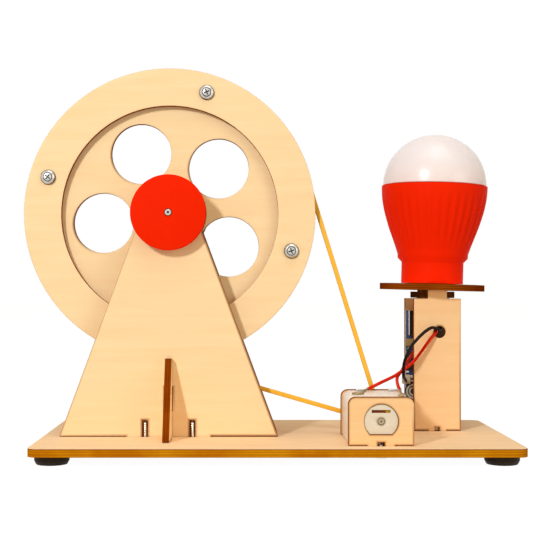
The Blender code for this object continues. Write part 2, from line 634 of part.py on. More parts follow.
def make_wheel(axis):
    """Belt wheel: the smaller web between the rings leaves a groove for the belt."""
    screw_places = ring_places(WHEEL_SCREW_CIRCLE_RADIUS, WHEEL_SCREW_ANGLE, WHEEL_SCREW_COUNT)
    screw_holes = [circle(p, WHEEL_SCREW_RADIUS + SEAT_GAP, 16) for p in screw_places]
    rim = circle((0.0, 0.0), RING_RADIUS, 96)
    bore = circle((0.0, 0.0), RING_BORE_RADIUS, 72)
    for side, name in ((-1, "wheel_front_ring"), (1, "wheel_rear_ring")):
        place = (AXLE_X, WEB_Y + side * RING_PITCH, AXLE_Z)
        ring = sheet_piece(name, [rim, bore, *screw_holes], PLY, place, FACING_FRONT)
        carry(axis, colour(ring, PLY_COLOUR))
    loops = [circle((0.0, 0.0), WEB_RADIUS, 96), circle((0.0, 0.0), AXLE_BORE_RADIUS, 24)]
    for middle in ring_places(WEB_HOLE_CIRCLE_RADIUS, WEB_HOLE_ANGLE, WEB_HOLE_COUNT):
        loops.append(circle(middle, WEB_HOLE_RADIUS, 36))
    place = (AXLE_X, WEB_Y, AXLE_Z)
    web = sheet_piece("wheel_web", loops + screw_holes, PLY, place, FACING_FRONT)
    carry(axis, colour(web, PLY_COLOUR))
    face_y = WEB_Y - RING_PITCH - PLY / 2 - SEAT_GAP
    length = 3 * PLY + 2 * SEAT_GAP
    profile = screw_profile(
        WHEEL_SCREW_HEAD_RADIUS, WHEEL_SCREW_HEAD_HEIGHT, WHEEL_SCREW_RADIUS, length
    )
    bar = WHEEL_SCREW_HEAD_RADIUS * CROSS_LENGTH_SHARE
    thin = WHEEL_SCREW_HEAD_RADIUS * CROSS_WIDTH_SHARE
    deep = WHEEL_SCREW_HEAD_HEIGHT * CROSS_DEPTH_SHARE
    for i, (u, v) in enumerate(screw_places):
        place = (AXLE_X + u, face_y, AXLE_Z + v)
        screw = turned_piece(f"wheel_screw_{i + 1}", profile, place, FACING_FRONT, 16)
        colour(screw, STEEL, 0.25, 1.0)
        cross = [
            (-bar / 2, -thin / 2), (-thin / 2, -thin / 2), (-thin / 2, -bar / 2),
            (thin / 2, -bar / 2), (thin / 2, -thin / 2), (bar / 2, -thin / 2),
            (bar / 2, thin / 2), (thin / 2, thin / 2), (thin / 2, bar / 2),
            (-thin / 2, bar / 2), (-thin / 2, thin / 2), (-bar / 2, thin / 2),
        ]
        turn = CROSS_TURN * (i + 1)
        cross = [
            (a * math.cos(turn) - b * math.sin(turn), a * math.sin(turn) + b * math.cos(turn))
            for a, b in cross
        ]
        middle = (place[0], face_y - WHEEL_SCREW_HEAD_HEIGHT, place[2])
        cutter = sheet_piece(f"cross_{i + 1}", [cross], 2 * deep, middle, FACING_FRONT, CUTTERS)
        cut(screw, cutter)
        carry(axis, screw)


def make_axle_and_crank(axis, handle_axis):
    """Axle with its spacers, the red disc in front and the crank behind."""
    front_face = WEB_Y - UPRIGHT_PITCH - PLY / 2
    rear_face = WEB_Y + UPRIGHT_PITCH + PLY / 2
    disc_back = front_face - RUN_GAP - DISC_HUB_LENGTH
    disc_front = disc_back - DISC_THICKNESS
    arm_front = rear_face + RUN_GAP
    arm_back = arm_front + CRANK_THICKNESS
    axle_front = disc_front - AXLE_END
    axle_back = arm_back + AXLE_END
    length = axle_back - axle_front
    tip = AXLE_RADIUS - AXLE_CHAMFER
    profile = [
        (0.0, 0.0), (tip, 0.0), (AXLE_RADIUS, -AXLE_CHAMFER),
        (AXLE_RADIUS, AXLE_CHAMFER - length), (tip, -length), (0.0, -length),
    ]
    axle = turned_piece("axle", profile, (AXLE_X, axle_front, AXLE_Z), FACING_FRONT, 24)
    carry(axis, colour(axle, STEEL, 0.25, 1.0))

    spacer_length = UPRIGHT_PITCH - PLY - SEAT_GAP - RUN_GAP
    tube = [
        (SPACER_RADIUS, spacer_length / 2), (SPACER_RADIUS, -spacer_length / 2),
        (AXLE_BORE_RADIUS, -spacer_length / 2), (AXLE_BORE_RADIUS, spacer_length / 2),
    ]
    for side, name in ((-1, "front_spacer"), (1, "rear_spacer")):
        y = WEB_Y + side * (PLY / 2 + SEAT_GAP + spacer_length / 2)
        spacer = turned_piece(name, tube, (AXLE_X, y, AXLE_Z), FACING_FRONT, 24, closed=True)
        carry(axis, colour(spacer, (0.8, 0.8, 0.78), 0.5))

    edge = DISC_EDGE_RADIUS
    turn = math.pi / 2
    front_edge = arc((DISC_RADIUS - edge, -edge), edge, turn, 0.0, 3)
    back_edge = arc((DISC_RADIUS - edge, edge - DISC_THICKNESS), edge, 0.0, -turn, 3)
    profile = [
        *front_edge, *back_edge,
        (DISC_HUB_RADIUS, -DISC_THICKNESS), (DISC_HUB_RADIUS, -DISC_THICKNESS - DISC_HUB_LENGTH),
        (AXLE_BORE_RADIUS, -DISC_THICKNESS - DISC_HUB_LENGTH), (AXLE_BORE_RADIUS, 0.0),
    ]
    place = (AXLE_X, disc_front, AXLE_Z)
    disc = turned_piece("red_disc", profile, place, FACING_FRONT, 56, closed=True)
    carry(axis, colour(disc, RED_PLASTIC, 0.45))

    lean = math.asin((CRANK_HUB_RADIUS - CRANK_END_RADIUS) / CRANK_THROW)
    hub = arc((0.0, 0.0), CRANK_HUB_RADIUS, -lean, math.pi + lean, 25)
    end = arc((0.0, -CRANK_THROW), CRANK_END_RADIUS, math.pi + lean, 2 * math.pi - lean, 17)
    pin_bore = CRANK_PIN_RADIUS + SEAT_GAP
    loops = [
        hub + end,
        circle((0.0, 0.0), AXLE_BORE_RADIUS, 24),
        circle((0.0, -CRANK_THROW), pin_bore, 20),
    ]
    place = (AXLE_X, (arm_front + arm_back) / 2, AXLE_Z)
    arm = sheet_piece("crank_arm", loops, CRANK_THICKNESS, place, FACING_FRONT)
    carry(axis, colour(arm, RED_PLASTIC, 0.45))

    grip_front = arm_back + RUN_GAP
    grip_back = grip_front + GRIP_LENGTH
    pin_z = AXLE_Z - CRANK_THROW
    half = GRIP_LENGTH / 2
    round_off = arc(
        (GRIP_RADIUS - GRIP_EDGE_RADIUS, half - GRIP_EDGE_RADIUS), GRIP_EDGE_RADIUS, turn, 0.0, 4
    )
    upper = [*round_off, (GRIP_WAIST_RADIUS, 0.0)]
    lower = [(radius, -height) for radius, height in reversed(round_off)]
    profile = [*upper, *lower, (pin_bore, -half), (pin_bore, half)]
    place = (AXLE_X, (grip_front + grip_back) / 2, pin_z)
    grip = turned_piece("crank_grip", profile, place, FACING_FRONT, 24, closed=True)
    carry(handle_axis, colour(grip, RED_PLASTIC, 0.45))

    head_y = grip_back + SEAT_GAP
    length = head_y - arm_front
    profile = screw_profile(
        CRANK_PIN_HEAD_RADIUS, CRANK_PIN_HEAD_HEIGHT, CRANK_PIN_RADIUS, length
    )
    turn_back = (-math.pi / 2, 0.0, 0.0)
    pin = turned_piece("crank_pin", profile, (AXLE_X, head_y, pin_z), turn_back, 20)
    carry(axis, colour(pin, STEEL, 0.25, 1.0))


def make_belt():
    """Square rubber belt: two arcs and the straight runs that touch them both."""
    across = MOTOR_X - AXLE_X
    down = MOTOR_Z - AXLE_Z
    heading = math.atan2(down, across)
    spread = math.acos((BELT_WHEEL_RADIUS - BELT_PULLEY_RADIUS) / math.hypot(across, down))
    loops = []
    for offset in (BELT_SIZE / 2, -BELT_SIZE / 2):
        large = arc(
            (0.0, 0.0), BELT_WHEEL_RADIUS + offset, heading + spread,
            heading - spread + 2 * math.pi, 65,
        )
        small = arc(
            (across, down), BELT_PULLEY_RADIUS + offset, heading - spread, heading + spread, 13
        )
        loops.append(large + small)
    belt = sheet_piece("drive_belt", loops, BELT_SIZE, (AXLE_X, WEB_Y, AXLE_Z), FACING_FRONT)
    colour(belt, (0.92, 0.50, 0.06), 0.6)


def cap_outline(radius, flat_drop):
    """Circle with its lower part cut off straight."""
    start = -math.asin(flat_drop / radius)
    return arc((0.0, 0.0), radius, start, math.pi - start, 41)


def make_motor_bracket():
    """Two plywood plates that hold the generator between them."""
    half = MOTOR_PLATE_WIDTH / 2
    radius = MOTOR_PLATE_CORNER_RADIUS
    top = MOTOR_PLATE_HEIGHT - radius
    right = arc((half - radius, top), radius, 0.0, math.pi / 2, 7)
    left = arc((radius - half, top), radius, math.pi / 2, math.pi, 7)
    notch = (0.0, MOTOR_NOTCH_WIDTH, MOTOR_NOTCH_HEIGHT)
    outline = tab_edge(half, MOTOR_TAB_WIDTH / 2, [notch]) + right + left
    cap_hole = [
        (u, v + MOTOR_SHAFT_HEIGHT) for u, v in cap_outline(CAP_HOLE_RADIUS, CAP_FLAT_DROP)
    ]
    window = circle((0.0, MOTOR_SHAFT_HEIGHT), SHAFT_WINDOW_RADIUS, 32)
    for name, y, hole in (
        ("motor_front_plate", MOTOR_FRONT_Y, cap_hole),
        ("motor_rear_plate", MOTOR_REAR_Y, window),
    ):
        plate = sheet_piece(name, [outline, hole], PLY, (MOTOR_X, y, BOARD_TOP_Z), FACING_FRONT)
        colour(plate, PLY_COLOUR)


def make_generator(axis):
    """Generator: moulded housing, end cap, magnets, brushes and the turning rotor."""
    cream = (0.78, 0.70, 0.57)
    front = MOTOR_FRONT_Y + PLY / 2 + SEAT_GAP
    rear = MOTOR_REAR_Y - PLY / 2 - SEAT_GAP
    half = HOUSING_WIDTH / 2
    radius = HOUSING_CORNER_RADIUS
    low = SEAT_GAP - MOTOR_SHAFT_HEIGHT
    high = MOTOR_PLATE_HEIGHT - MOTOR_SHAFT_HEIGHT - SEAT_GAP
    outline = [(-half, low), (half, low)]
    outline += arc((half - radius, high - radius), radius, 0.0, math.pi / 2, 8)
    outline += arc((radius - half, high - radius), radius, math.pi / 2, math.pi, 8)
    place = (MOTOR_X, (front + rear) / 2, MOTOR_Z)
    housing = sheet_piece("generator_housing", [outline], rear - front, place, FACING_FRONT)
    colour(housing, cream, 0.5)
    inner_rear = rear - HOUSING_REAR_WALL
    bore_length = inner_rear - front + CUT_OVERRUN
    bore_y = inner_rear - bore_length / 2
    bore = sheet_piece(
        "housing_bore", [circle((0.0, 0.0), HOUSING_BORE_RADIUS, 48)], bore_length,
        (MOTOR_X, bore_y, MOTOR_Z), FACING_FRONT, CUTTERS,
    )
    cut(housing, bore)
    shaft_hole = sheet_piece(
        "housing_shaft_hole", [circle((0.0, 0.0), SHAFT_RADIUS + SEAT_GAP, 20)],
        2 * (HOUSING_REAR_WALL + CUT_OVERRUN), (MOTOR_X, rear, MOTOR_Z), FACING_FRONT, CUTTERS,
    )
    cut(housing, shaft_hole)

    cap_front = MOTOR_FRONT_Y - PLY / 2 + SEAT_GAP
    cap_rear = cap_front + CAP_LENGTH
    outline = cap_outline(CAP_HOLE_RADIUS - SEAT_GAP, CAP_FLAT_DROP - SEAT_GAP)
    place = (MOTOR_X, (cap_front + cap_rear) / 2, MOTOR_Z)
    cap = sheet_piece("generator_end_cap", [outline], CAP_LENGTH, place, FACING_FRONT)
    colour(cap, cream, 0.45)
    slot = rectangle((0.0, CAP_SLOT_RISE), CAP_SLOT_WIDTH, CAP_SLOT_HEIGHT)
    face = (MOTOR_X, cap_front, MOTOR_Z)
    cut(cap, sheet_piece("cap_slot", [slot], 2 * CAP_SLOT_DEPTH, face, FACING_FRONT, CUTTERS))
    ring = [
        circle((0.0, 0.0), CAP_RING_RADIUS, 24),
        circle((0.0, 0.0), CAP_RING_RADIUS - CAP_RING_WIDTH, 24),
    ]
    cut(cap, sheet_piece("cap_ring", ring, 2 * CAP_RING_DEPTH, face, FACING_FRONT, CUTTERS))
    bearing = [circle((0.0, 0.0), SHAFT_RADIUS + SEAT_GAP, 20)]
    place = (MOTOR_X, cap_rear, MOTOR_Z)
    cut(
        cap,
        sheet_piece("cap_bearing", bearing, 2 * CAP_BEARING_DEPTH, place, FACING_FRONT, CUTTERS),
    )

    outer = HOUSING_BORE_RADIUS - SEAT_GAP
    inner = outer - MAGNET_THICKNESS
    magnet_rear = inner_rear - SEAT_GAP
    magnet_y = magnet_rear - MAGNET_LENGTH / 2
    for middle, name in ((0.0, "magnet_right"), (math.pi, "magnet_left")):
        start = middle - MAGNET_SPAN / 2
        end = middle + MAGNET_SPAN / 2
        loop = arc((0.0, 0.0), outer, start, end, 17) + arc((0.0, 0.0), inner, end, start, 17)
        place = (MOTOR_X, magnet_y, MOTOR_Z)
        magnet = sheet_piece(name, [loop], MAGNET_LENGTH, place, FACING_FRONT)
        colour(magnet, (0.10, 0.10, 0.11), 0.6)

    commutator_front = cap_rear + 2 * SEAT_GAP
    lift = COMMUTATOR_RADIUS + SEAT_GAP
    for side, name in ((-1, "brush_lower"), (1, "brush_upper")):
        z_near = MOTOR_Z + side * lift
        z_far = z_near + side * BRUSH_THICKNESS
        low_corner = (MOTOR_X - BRUSH_WIDTH / 2, cap_rear + SEAT_GAP, min(z_near, z_far))
        back = commutator_front + COMMUTATOR_LENGTH
        high_corner = (MOTOR_X + BRUSH_WIDTH / 2, back, max(z_near, z_far))
        colour(block(name, low_corner, high_corner), (0.72, 0.38, 0.18), 0.35, 1.0)

    shaft_front = cap_rear - CAP_BEARING_DEPTH + SEAT_GAP
    shaft_rear = WEB_Y + PULLEY_WIDTH / 2 + AXLE_END
    length = shaft_rear - shaft_front
    profile = [(0.0, 0.0), (SHAFT_RADIUS, 0.0), (SHAFT_RADIUS, -length), (0.0, -length)]
    place = (MOTOR_X, shaft_front, MOTOR_Z)
    shaft = turned_piece("rotor_shaft", profile, place, FACING_FRONT, 20)
    carry(axis, colour(shaft, STEEL, 0.25, 1.0))
    bore = SHAFT_RADIUS + SEAT_GAP
    profile = [
        (COMMUTATOR_RADIUS, 0.0), (COMMUTATOR_RADIUS, -COMMUTATOR_LENGTH),
        (bore, -COMMUTATOR_LENGTH), (bore, 0.0),
    ]
    place = (MOTOR_X, commutator_front, MOTOR_Z)
    commutator = turned_piece("commutator", profile, place, FACING_FRONT, 24, closed=True)
    carry(axis, colour(commutator, (0.72, 0.38, 0.18), 0.3, 1.0))

    armature_front = commutator_front + COMMUTATOR_LENGTH + SEAT_GAP
    armature_rear = inner_rear - RUN_GAP
    outer = inner - RUN_GAP
    shoe = outer - ARMATURE_SHOE
    neck_start = math.asin(ARMATURE_NECK_WIDTH / 2 / ARMATURE_HUB_RADIUS)
    neck_end = math.asin(ARMATURE_NECK_WIDTH / 2 / shoe)
    outline = []
    half_span = ARMATURE_POLE_SPAN / 2
    for i in range(3):
        middle = math.pi / 2 + i * 2 * math.pi / 3
        outline += ring_places(ARMATURE_HUB_RADIUS, middle - neck_start, 1)
        outline += arc((0.0, 0.0), shoe, middle - neck_end, middle - half_span, 4)
        outline += arc((0.0, 0.0), outer, middle - half_span, middle + half_span, 13)
        outline += arc((0.0, 0.0), shoe, middle + half_span, middle + neck_end, 4)
        outline += ring_places(ARMATURE_HUB_RADIUS, middle + neck_start, 1)
    loops = [outline, circle((0.0, 0.0), bore, 20)]
    place = (MOTOR_X, (armature_front + armature_rear) / 2, MOTOR_Z)
    armature = sheet_piece(
        "armature", loops, armature_rear - armature_front, place, FACING_FRONT
    )
    carry(axis, colour(armature, (0.30, 0.28, 0.27), 0.4, 1.0))

    half = PULLEY_WIDTH / 2
    lip = half - PULLEY_FLANGE_THICKNESS
    floor = BELT_SIZE / 2 + SEAT_GAP
    profile = [
        (PULLEY_FLANGE_RADIUS, half), (PULLEY_FLANGE_RADIUS, lip),
        (PULLEY_GROOVE_RADIUS, floor), (PULLEY_GROOVE_RADIUS, -floor),
        (PULLEY_FLANGE_RADIUS, -lip), (PULLEY_FLANGE_RADIUS, -half),
        (bore, -half), (bore, half),
    ]
    place = (MOTOR_X, WEB_Y, MOTOR_Z)
    pulley = turned_piece("pulley", profile, place, FACING_FRONT, 28, closed=True)
    carry(axis, colour(pulley, (0.80, 0.75, 0.66), 0.5))

    top = MOTOR_Z + high + SEAT_GAP
    y = rear - TERMINAL_INSET
    for offset, name in zip(TERMINAL_OFFSETS, ("terminal_left", "terminal_right")):
        x = MOTOR_X + offset
        low_corner = (x - TERMINAL_LENGTH / 2, y - TERMINAL_WIDTH / 2, top)
        high_corner = (x + TERMINAL_LENGTH / 2, y + TERMINAL_WIDTH / 2, top + TERMINAL_THICKNESS)
        colour(block(name, low_corner, high_corner), STEEL, 0.3, 1.0)


def make_pillar():
    """Two plates, the seat across their shoulders and the round shelf on top."""
    half = PILLAR_WIDTH / 2
    half_tab = PILLAR_TOP_TAB_WIDTH / 2
    tab_top = SHELF_Z + PLY - SEAT_GAP - BOARD_TOP_Z
    notch = (0.0, PILLAR_NOTCH, PILLAR_NOTCH)
    outline = tab_edge(half, PILLAR_FOOT_TAB_WIDTH / 2, [notch])
    outline += [
        (half, PILLAR_HEIGHT), (half_tab, PILLAR_HEIGHT), (half_tab, tab_top),
        (-half_tab, tab_top), (-half_tab, PILLAR_HEIGHT), (-half, PILLAR_HEIGHT),
    ]
    middle = (WIRE_HOLE_OFFSET, PILLAR_HEIGHT - WIRE_HOLE_DROP)
    wire_hole = circle(middle, WIRE_HOLE_RADIUS, 32)
    for name, y, holes in (
        ("pillar_front_plate", PILLAR_FRONT_Y, [wire_hole]),
        ("pillar_rear_plate", PILLAR_REAR_Y, []),
    ):
        place = (PILLAR_X, y, BOARD_TOP_Z)
        colour(sheet_piece(name, [outline, *holes], PLY, place, FACING_FRONT), PLY_COLOUR)

    half_slot = half_tab + SEAT_GAP
    half_seat = LAMP_SEAT_WIDTH / 2
    end = PILLAR_PITCH / 2 + PLY / 2
    notch_end = PILLAR_PITCH / 2 - PLY / 2 - SEAT_GAP
    outline = [
        (-half_seat, -end), (-half_slot, -end), (-half_slot, -notch_end), (half_slot, -notch_end),
        (half_slot, -end), (half_seat, -end), (half_seat, end), (half_slot, end),
        (half_slot, notch_end), (-half_slot, notch_end), (-half_slot, end), (-half_seat, end),
    ]
    loops = [outline, circle((0.0, 0.0), WIRE_HOLE_RADIUS, 32)]
    place = (PILLAR_X, LAMP_Y, SEAT_Z + PLY / 2)
    colour(sheet_piece("lamp_seat", loops, PLY, place, FLAT), PLY_COLOUR)

    loops = [circle((0.0, 0.0), SHELF_RADIUS, 60), circle((0.0, 0.0), BOSS_HOLE_RADIUS, 36)]
    slot = (2 * half_slot, SLOT_THICKNESS)
    loops += [rectangle((0.0, side * PILLAR_PITCH / 2), *slot) for side in (-1, 1)]
    place = (PILLAR_X, LAMP_Y, SHELF_Z + PLY / 2)
    shelf = sheet_piece("lamp_shelf", loops, PLY, place, (0.0, SHELF_LEAN, 0.0))
    colour(shelf, PLY_COLOUR)


def lean_with_shelf(piece):
    """Turn a lamp piece with the shelf, which sits a little out of level on its tabs."""
    pivot = Vector((PILLAR_X, LAMP_Y, SHELF_Z + PLY / 2))
    lean = Matrix.Rotation(SHELF_LEAN, 4, "Y")
    bpy.context.view_layer.update()
    turn = Matrix.Translation(pivot) @ lean @ Matrix.Translation(-pivot)
    piece.matrix_world = turn @ piece.matrix_world


def bulb_profile():
    """Outer radius and height of the lamp's housing, from the rim down to the foot."""
    collar_top = BULB_HEIGHT * COLLAR_TOP_SHARE
    flare = [(BULB_COLLAR_RADIUS, collar_top)]
    for rise_share, swell_share in FLARE_SHARES:
        radius = BULB_COLLAR_RADIUS + (BULB_RIM_RADIUS - BULB_COLLAR_RADIUS) * swell_share
        flare.append((radius, collar_top + (BULB_HEIGHT - collar_top) * rise_share))
    neck = [
        (BULB_COLLAR_RADIUS, BULB_HEIGHT * COLLAR_LOW_SHARE),
        (BULB_NECK_RADIUS, BULB_HEIGHT * NECK_TOP_SHARE),
        (BULB_NECK_RADIUS, 0.0),
    ]
    return list(reversed(flare)), neck


def make_lamp():
    """Lamp: thin ribbed housing with a boss in the shelf's hole, light disc and dome."""
    flare, neck = bulb_profile()
    ledge_z = BULB_HEIGHT - LED_BOARD_DROP
    boss_radius = BOSS_HOLE_RADIUS - SEAT_GAP
    boss_low = -PLY
    board_seat_radius = flare[1][0] - BULB_WALL
    ledge_radius = board_seat_radius - LED_LEDGE
    inside = [(radius - BULB_WALL, height) for radius, height in reversed(flare[2::2])]
    profile = [
        *flare, *neck,
        (boss_radius, 0.0), (boss_radius, boss_low),
        (WIRE_HOLE_RADIUS, boss_low), (WIRE_HOLE_RADIUS, BULB_WALL),
        (BULB_NECK_RADIUS - BULB_WALL, BULB_WALL),
        (BULB_NECK_RADIUS - BULB_WALL, neck[1][1]),
        *inside,
        (ledge_radius, ledge_z), (board_seat_radius, ledge_z),
        (BULB_RIM_RADIUS - BULB_WALL, BULB_HEIGHT),
    ]
    place = (PILLAR_X, LAMP_Y, BULB_Z)
    source = turned_piece("housing_blank", profile, place, FLAT, 2 * RIB_COUNT, closed=True)
    housing = as_mesh(source, "bulb_housing", PARTS)
    rib_low = flare[-2][1]
    rib_high = flare[1][1]
    for vertex in housing.data.vertices:
        radius = math.hypot(vertex.co.x, vertex.co.y)
        height = vertex.co.z
        outside = any(
            abs(height - h) < BULB_WALL / 4 and abs(radius - r) < BULB_WALL / 4 for r, h in flare
        )
        turn = math.atan2(vertex.co.y, vertex.co.x) / (math.pi / RIB_COUNT)
        if outside and rib_low - SEAT_GAP < height < rib_high + SEAT_GAP and round(turn) % 2:
            vertex.co.x *= 1 - RIB_DEPTH / radius
            vertex.co.y *= 1 - RIB_DEPTH / radius
    lean_with_shelf(colour(smooth(housing), RED_PLASTIC, 0.45))

    board_radius = board_seat_radius - SEAT_GAP
    board_low = ledge_z + SEAT_GAP
    board_top = board_low + LED_BOARD_THICKNESS
    profile = [
        (board_radius, board_top), (board_radius, board_low),
        (LEAD_DIAMETER, board_low), (LEAD_DIAMETER, board_top),
    ]
    led_board = turned_piece("bulb_led_board", profile, place, FLAT, 36, closed=True)
    lean_with_shelf(colour(led_board, (0.85, 0.85, 0.83), 0.5))

    foot = BULB_HEIGHT + SEAT_GAP
    outer = [
        (radius, foot + height * DOME_HEIGHT / DOME_RADIUS)
        for radius, height in arc((0.0, 0.0), DOME_RADIUS, math.pi / 2, 0.0, DOME_STEPS + 1)
    ]
    hollow = DOME_RADIUS - DOME_WALL
    inner = [
        (radius, foot + height * (DOME_HEIGHT - DOME_WALL) / hollow)
        for radius, height in arc((0.0, 0.0), hollow, 0.0, math.pi / 2, DOME_STEPS + 1)
    ]
    outer[0] = (0.0, outer[0][1])
    inner[-1] = (0.0, inner[-1][1])
    dome = turned_piece("bulb_dome", outer + inner, place, FLAT, 40)
    lean_with_shelf(colour(dome, (0.93, 0.89, 0.87), 0.25))


def make_converter():
    """Converter board on foam, with its socket, coil, capacitor and lead connector."""
    pcb_x = PCB_LEFT_X + PCB_WIDTH / 2
    pcb_z = PCB_LOW_Z + PCB_HEIGHT / 2
    low = (PCB_LEFT_X, PCB_FRONT_Y, PCB_LOW_Z)
    high = (PCB_LEFT_X + PCB_WIDTH, PCB_REAR_Y, PCB_LOW_Z + PCB_HEIGHT)
    colour(block("converter_board", low, high), (0.03, 0.07, 0.22), 0.4)
    foam_x = max(pcb_x, PILLAR_X)
    low = (foam_x - FOAM_WIDTH / 2, PCB_REAR_Y + SEAT_GAP, pcb_z - FOAM_HEIGHT / 2)
    high = (foam_x + FOAM_WIDTH / 2, low[1] + FOAM_THICKNESS, pcb_z + FOAM_HEIGHT / 2)
    colour(block("foam_pad", low, high), (0.85, 0.85, 0.83), 0.9)

    face = PCB_FRONT_Y - SEAT_GAP
    socket_y = face - SOCKET_DEPTH / 2
    slot_width = SOCKET_WIDTH - 2 * SOCKET_WALL
    slot_depth = (SOCKET_DEPTH - 2 * SOCKET_WALL - SOCKET_TONGUE) / 2
    slot_middle = (SOCKET_TONGUE + slot_depth) / 2
    loops = [rectangle((0.0, 0.0), SOCKET_WIDTH, SOCKET_DEPTH)]
    loops += [rectangle((0.0, side * slot_middle), slot_width, slot_depth) for side in (-1, 1)]
    socket_x = PCB_LEFT_X + SOCKET_WIDTH / 2 + 2 * SOCKET_WALL
    socket_z = PCB_LOW_Z + PCB_HEIGHT - SOCKET_HEIGHT / 2
    place = (socket_x, socket_y, socket_z)
    colour(sheet_piece("usb_socket", loops, SOCKET_HEIGHT, place, FLAT), STEEL, 0.3, 1.0)

    x = PCB_LEFT_X + CAPACITOR_WIDTH / 2 + SOCKET_WALL
    z = socket_z - SOCKET_HEIGHT / 2 - CAPACITOR_HEIGHT
    low = (x - CAPACITOR_WIDTH / 2, face - CAPACITOR_DEPTH, z - CAPACITOR_HEIGHT / 2)
    high = (x + CAPACITOR_WIDTH / 2, face, z + CAPACITOR_HEIGHT / 2)
    colour(block("capacitor", low, high), (0.72, 0.55, 0.30), 0.5)

    half = INDUCTOR_LENGTH / 2
    core = INDUCTOR_RADIUS * INDUCTOR_CORE_SHARE
    rim = half * INDUCTOR_RIM_SHARE
    profile = [
        (0.0, half), (INDUCTOR_RADIUS, half), (INDUCTOR_RADIUS, rim), (core, rim),
        (core, -rim), (INDUCTOR_RADIUS, -rim), (INDUCTOR_RADIUS, -half), (0.0, -half),
    ]
    x = PCB_LEFT_X + INDUCTOR_RADIUS + SOCKET_WALL
    place = (x, face - half, PCB_LOW_Z + INDUCTOR_RAISE)
    colour(turned_piece("inductor", profile, place, FACING_FRONT, 20), (0.12, 0.11, 0.11), 0.5)

    left = PCB_LEFT_X - CONNECTOR_WIDTH / 4
    z = PCB_LOW_Z + CONNECTOR_RAISE
    low = (left, face - CONNECTOR_DEPTH, z - CONNECTOR_HEIGHT / 2)
    high = (left + CONNECTOR_WIDTH, face, z + CONNECTOR_HEIGHT / 2)
    colour(block("lead_connector", low, high), (0.85, 0.83, 0.78), 0.5)


def make_leads():
    """Two red leads and a black one between generator, lamp and converter board."""
    red = (0.80, 0.02, 0.0)
    route = lead_route(LAMP_LEAD_BY_GENERATOR, LAMP_LEAD_BY_PILLAR)
    colour(wire_piece("lamp_lead", route, LEAD_DIAMETER), red, 0.5)
    route = lead_route(BOARD_LEAD_BY_GENERATOR, BOARD_LEAD_BY_PILLAR)
    colour(wire_piece("board_lead", route, LEAD_DIAMETER), red, 0.5)
    route = lead_route((), RETURN_LEAD_BY_PILLAR)
    colour(wire_piece("return_lead", route, LEAD_DIAMETER), BLACK_RUBBER, 0.5)


make_board()
make_feet()
make_uprights()
make_braces()
make_base_screws()
wheel_axis = axis_empty("wheel_axis", (AXLE_X, WEB_Y, AXLE_Z))
handle_axis = axis_empty("handle_axis", (AXLE_X, WEB_Y, AXLE_Z - CRANK_THROW), wheel_axis)
pulley_axis = axis_empty("pulley_axis", (MOTOR_X, WEB_Y, MOTOR_Z))
make_wheel(wheel_axis)
make_axle_and_crank(wheel_axis, handle_axis)
make_belt()
make_motor_bracket()
make_generator(pulley_axis)
make_pillar()
make_lamp()
make_converter()
make_leads()
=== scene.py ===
"""Hand crank generator kit of laser-cut plywood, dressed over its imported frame.

Lengths are in metres, in the frame's axes: X along the base board, Y away from the front, Z up.
"""

import math

import bmesh
import bpy
from mathutils import Matrix, Vector


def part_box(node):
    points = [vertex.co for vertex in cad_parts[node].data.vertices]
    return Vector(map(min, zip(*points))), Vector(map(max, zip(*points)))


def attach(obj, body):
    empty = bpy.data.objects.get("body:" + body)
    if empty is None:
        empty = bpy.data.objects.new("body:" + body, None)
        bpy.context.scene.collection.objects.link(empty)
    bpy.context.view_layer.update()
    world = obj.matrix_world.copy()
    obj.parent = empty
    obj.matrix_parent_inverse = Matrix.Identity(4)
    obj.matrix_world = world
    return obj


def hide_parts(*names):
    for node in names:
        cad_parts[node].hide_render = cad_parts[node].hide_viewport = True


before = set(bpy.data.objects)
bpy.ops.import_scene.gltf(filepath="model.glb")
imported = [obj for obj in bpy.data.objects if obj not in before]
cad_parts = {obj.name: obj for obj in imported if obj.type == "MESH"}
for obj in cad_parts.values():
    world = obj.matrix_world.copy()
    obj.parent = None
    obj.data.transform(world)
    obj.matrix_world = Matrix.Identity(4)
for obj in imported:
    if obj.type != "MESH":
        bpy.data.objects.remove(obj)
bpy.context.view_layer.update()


MM = 0.001
camera = bpy.data.objects.new("camera", bpy.data.cameras.new("camera"))
bpy.context.scene.collection.objects.link(camera)
camera.location = (-9.575 * MM, -532.5 * MM, 74.4 * MM)
camera.rotation_euler = (math.pi / 2, 0.0, 0.0)
camera.data.lens = 77.67
camera.data.shift_x = 0.0437
camera.data.shift_y = 0.0428
camera.data.clip_start = 0.01
bpy.context.scene.camera = camera


# Leads
# Tinned copper strands in soft PVC, 1.5 mm over the insulation. One red and the black lead go
# through the pillar's wire hole into the lamp, and the other red one goes to the converter board.
# The routes are in millimetres from the generator's shaft and from the pillar's shoulder.
LEAD_DIAMETER = 1.5 * MM
GENERATOR_SHAFT = Vector((49.025, -6.0, 18.3))
PILLAR_SHOULDER = Vector((81.725, 9.5, 70.0))
LAMP_LEAD_BY_GENERATOR = (
    (-2.1, -5.5, 11.0), (0.6, -3.6, 12.0), (3.9, -1.0, 13.3), (7.9, 4.0, 14.5),
    (11.9, 9.0, 15.8), (15.7, 12.0, 17.9),
)
LAMP_LEAD_BY_PILLAR = (
    (-13.6, -3.5, -31.3), (-10.9, -4.0, -28.6), (-8.5, -4.5, -25.4), (-6.1, -4.6, -22.0),
    (-3.7, -4.1, -18.7), (-1.1, -2.1, -16.3), (-0.1, 1.5, -14.8), (-0.2, 6.0, -11.2),
    (-0.7, 10.3, -5.8), (-0.9, 13.5, 0.0), (-0.9, 14.7, 6.0), (-0.9, 14.9, 13.0),
)
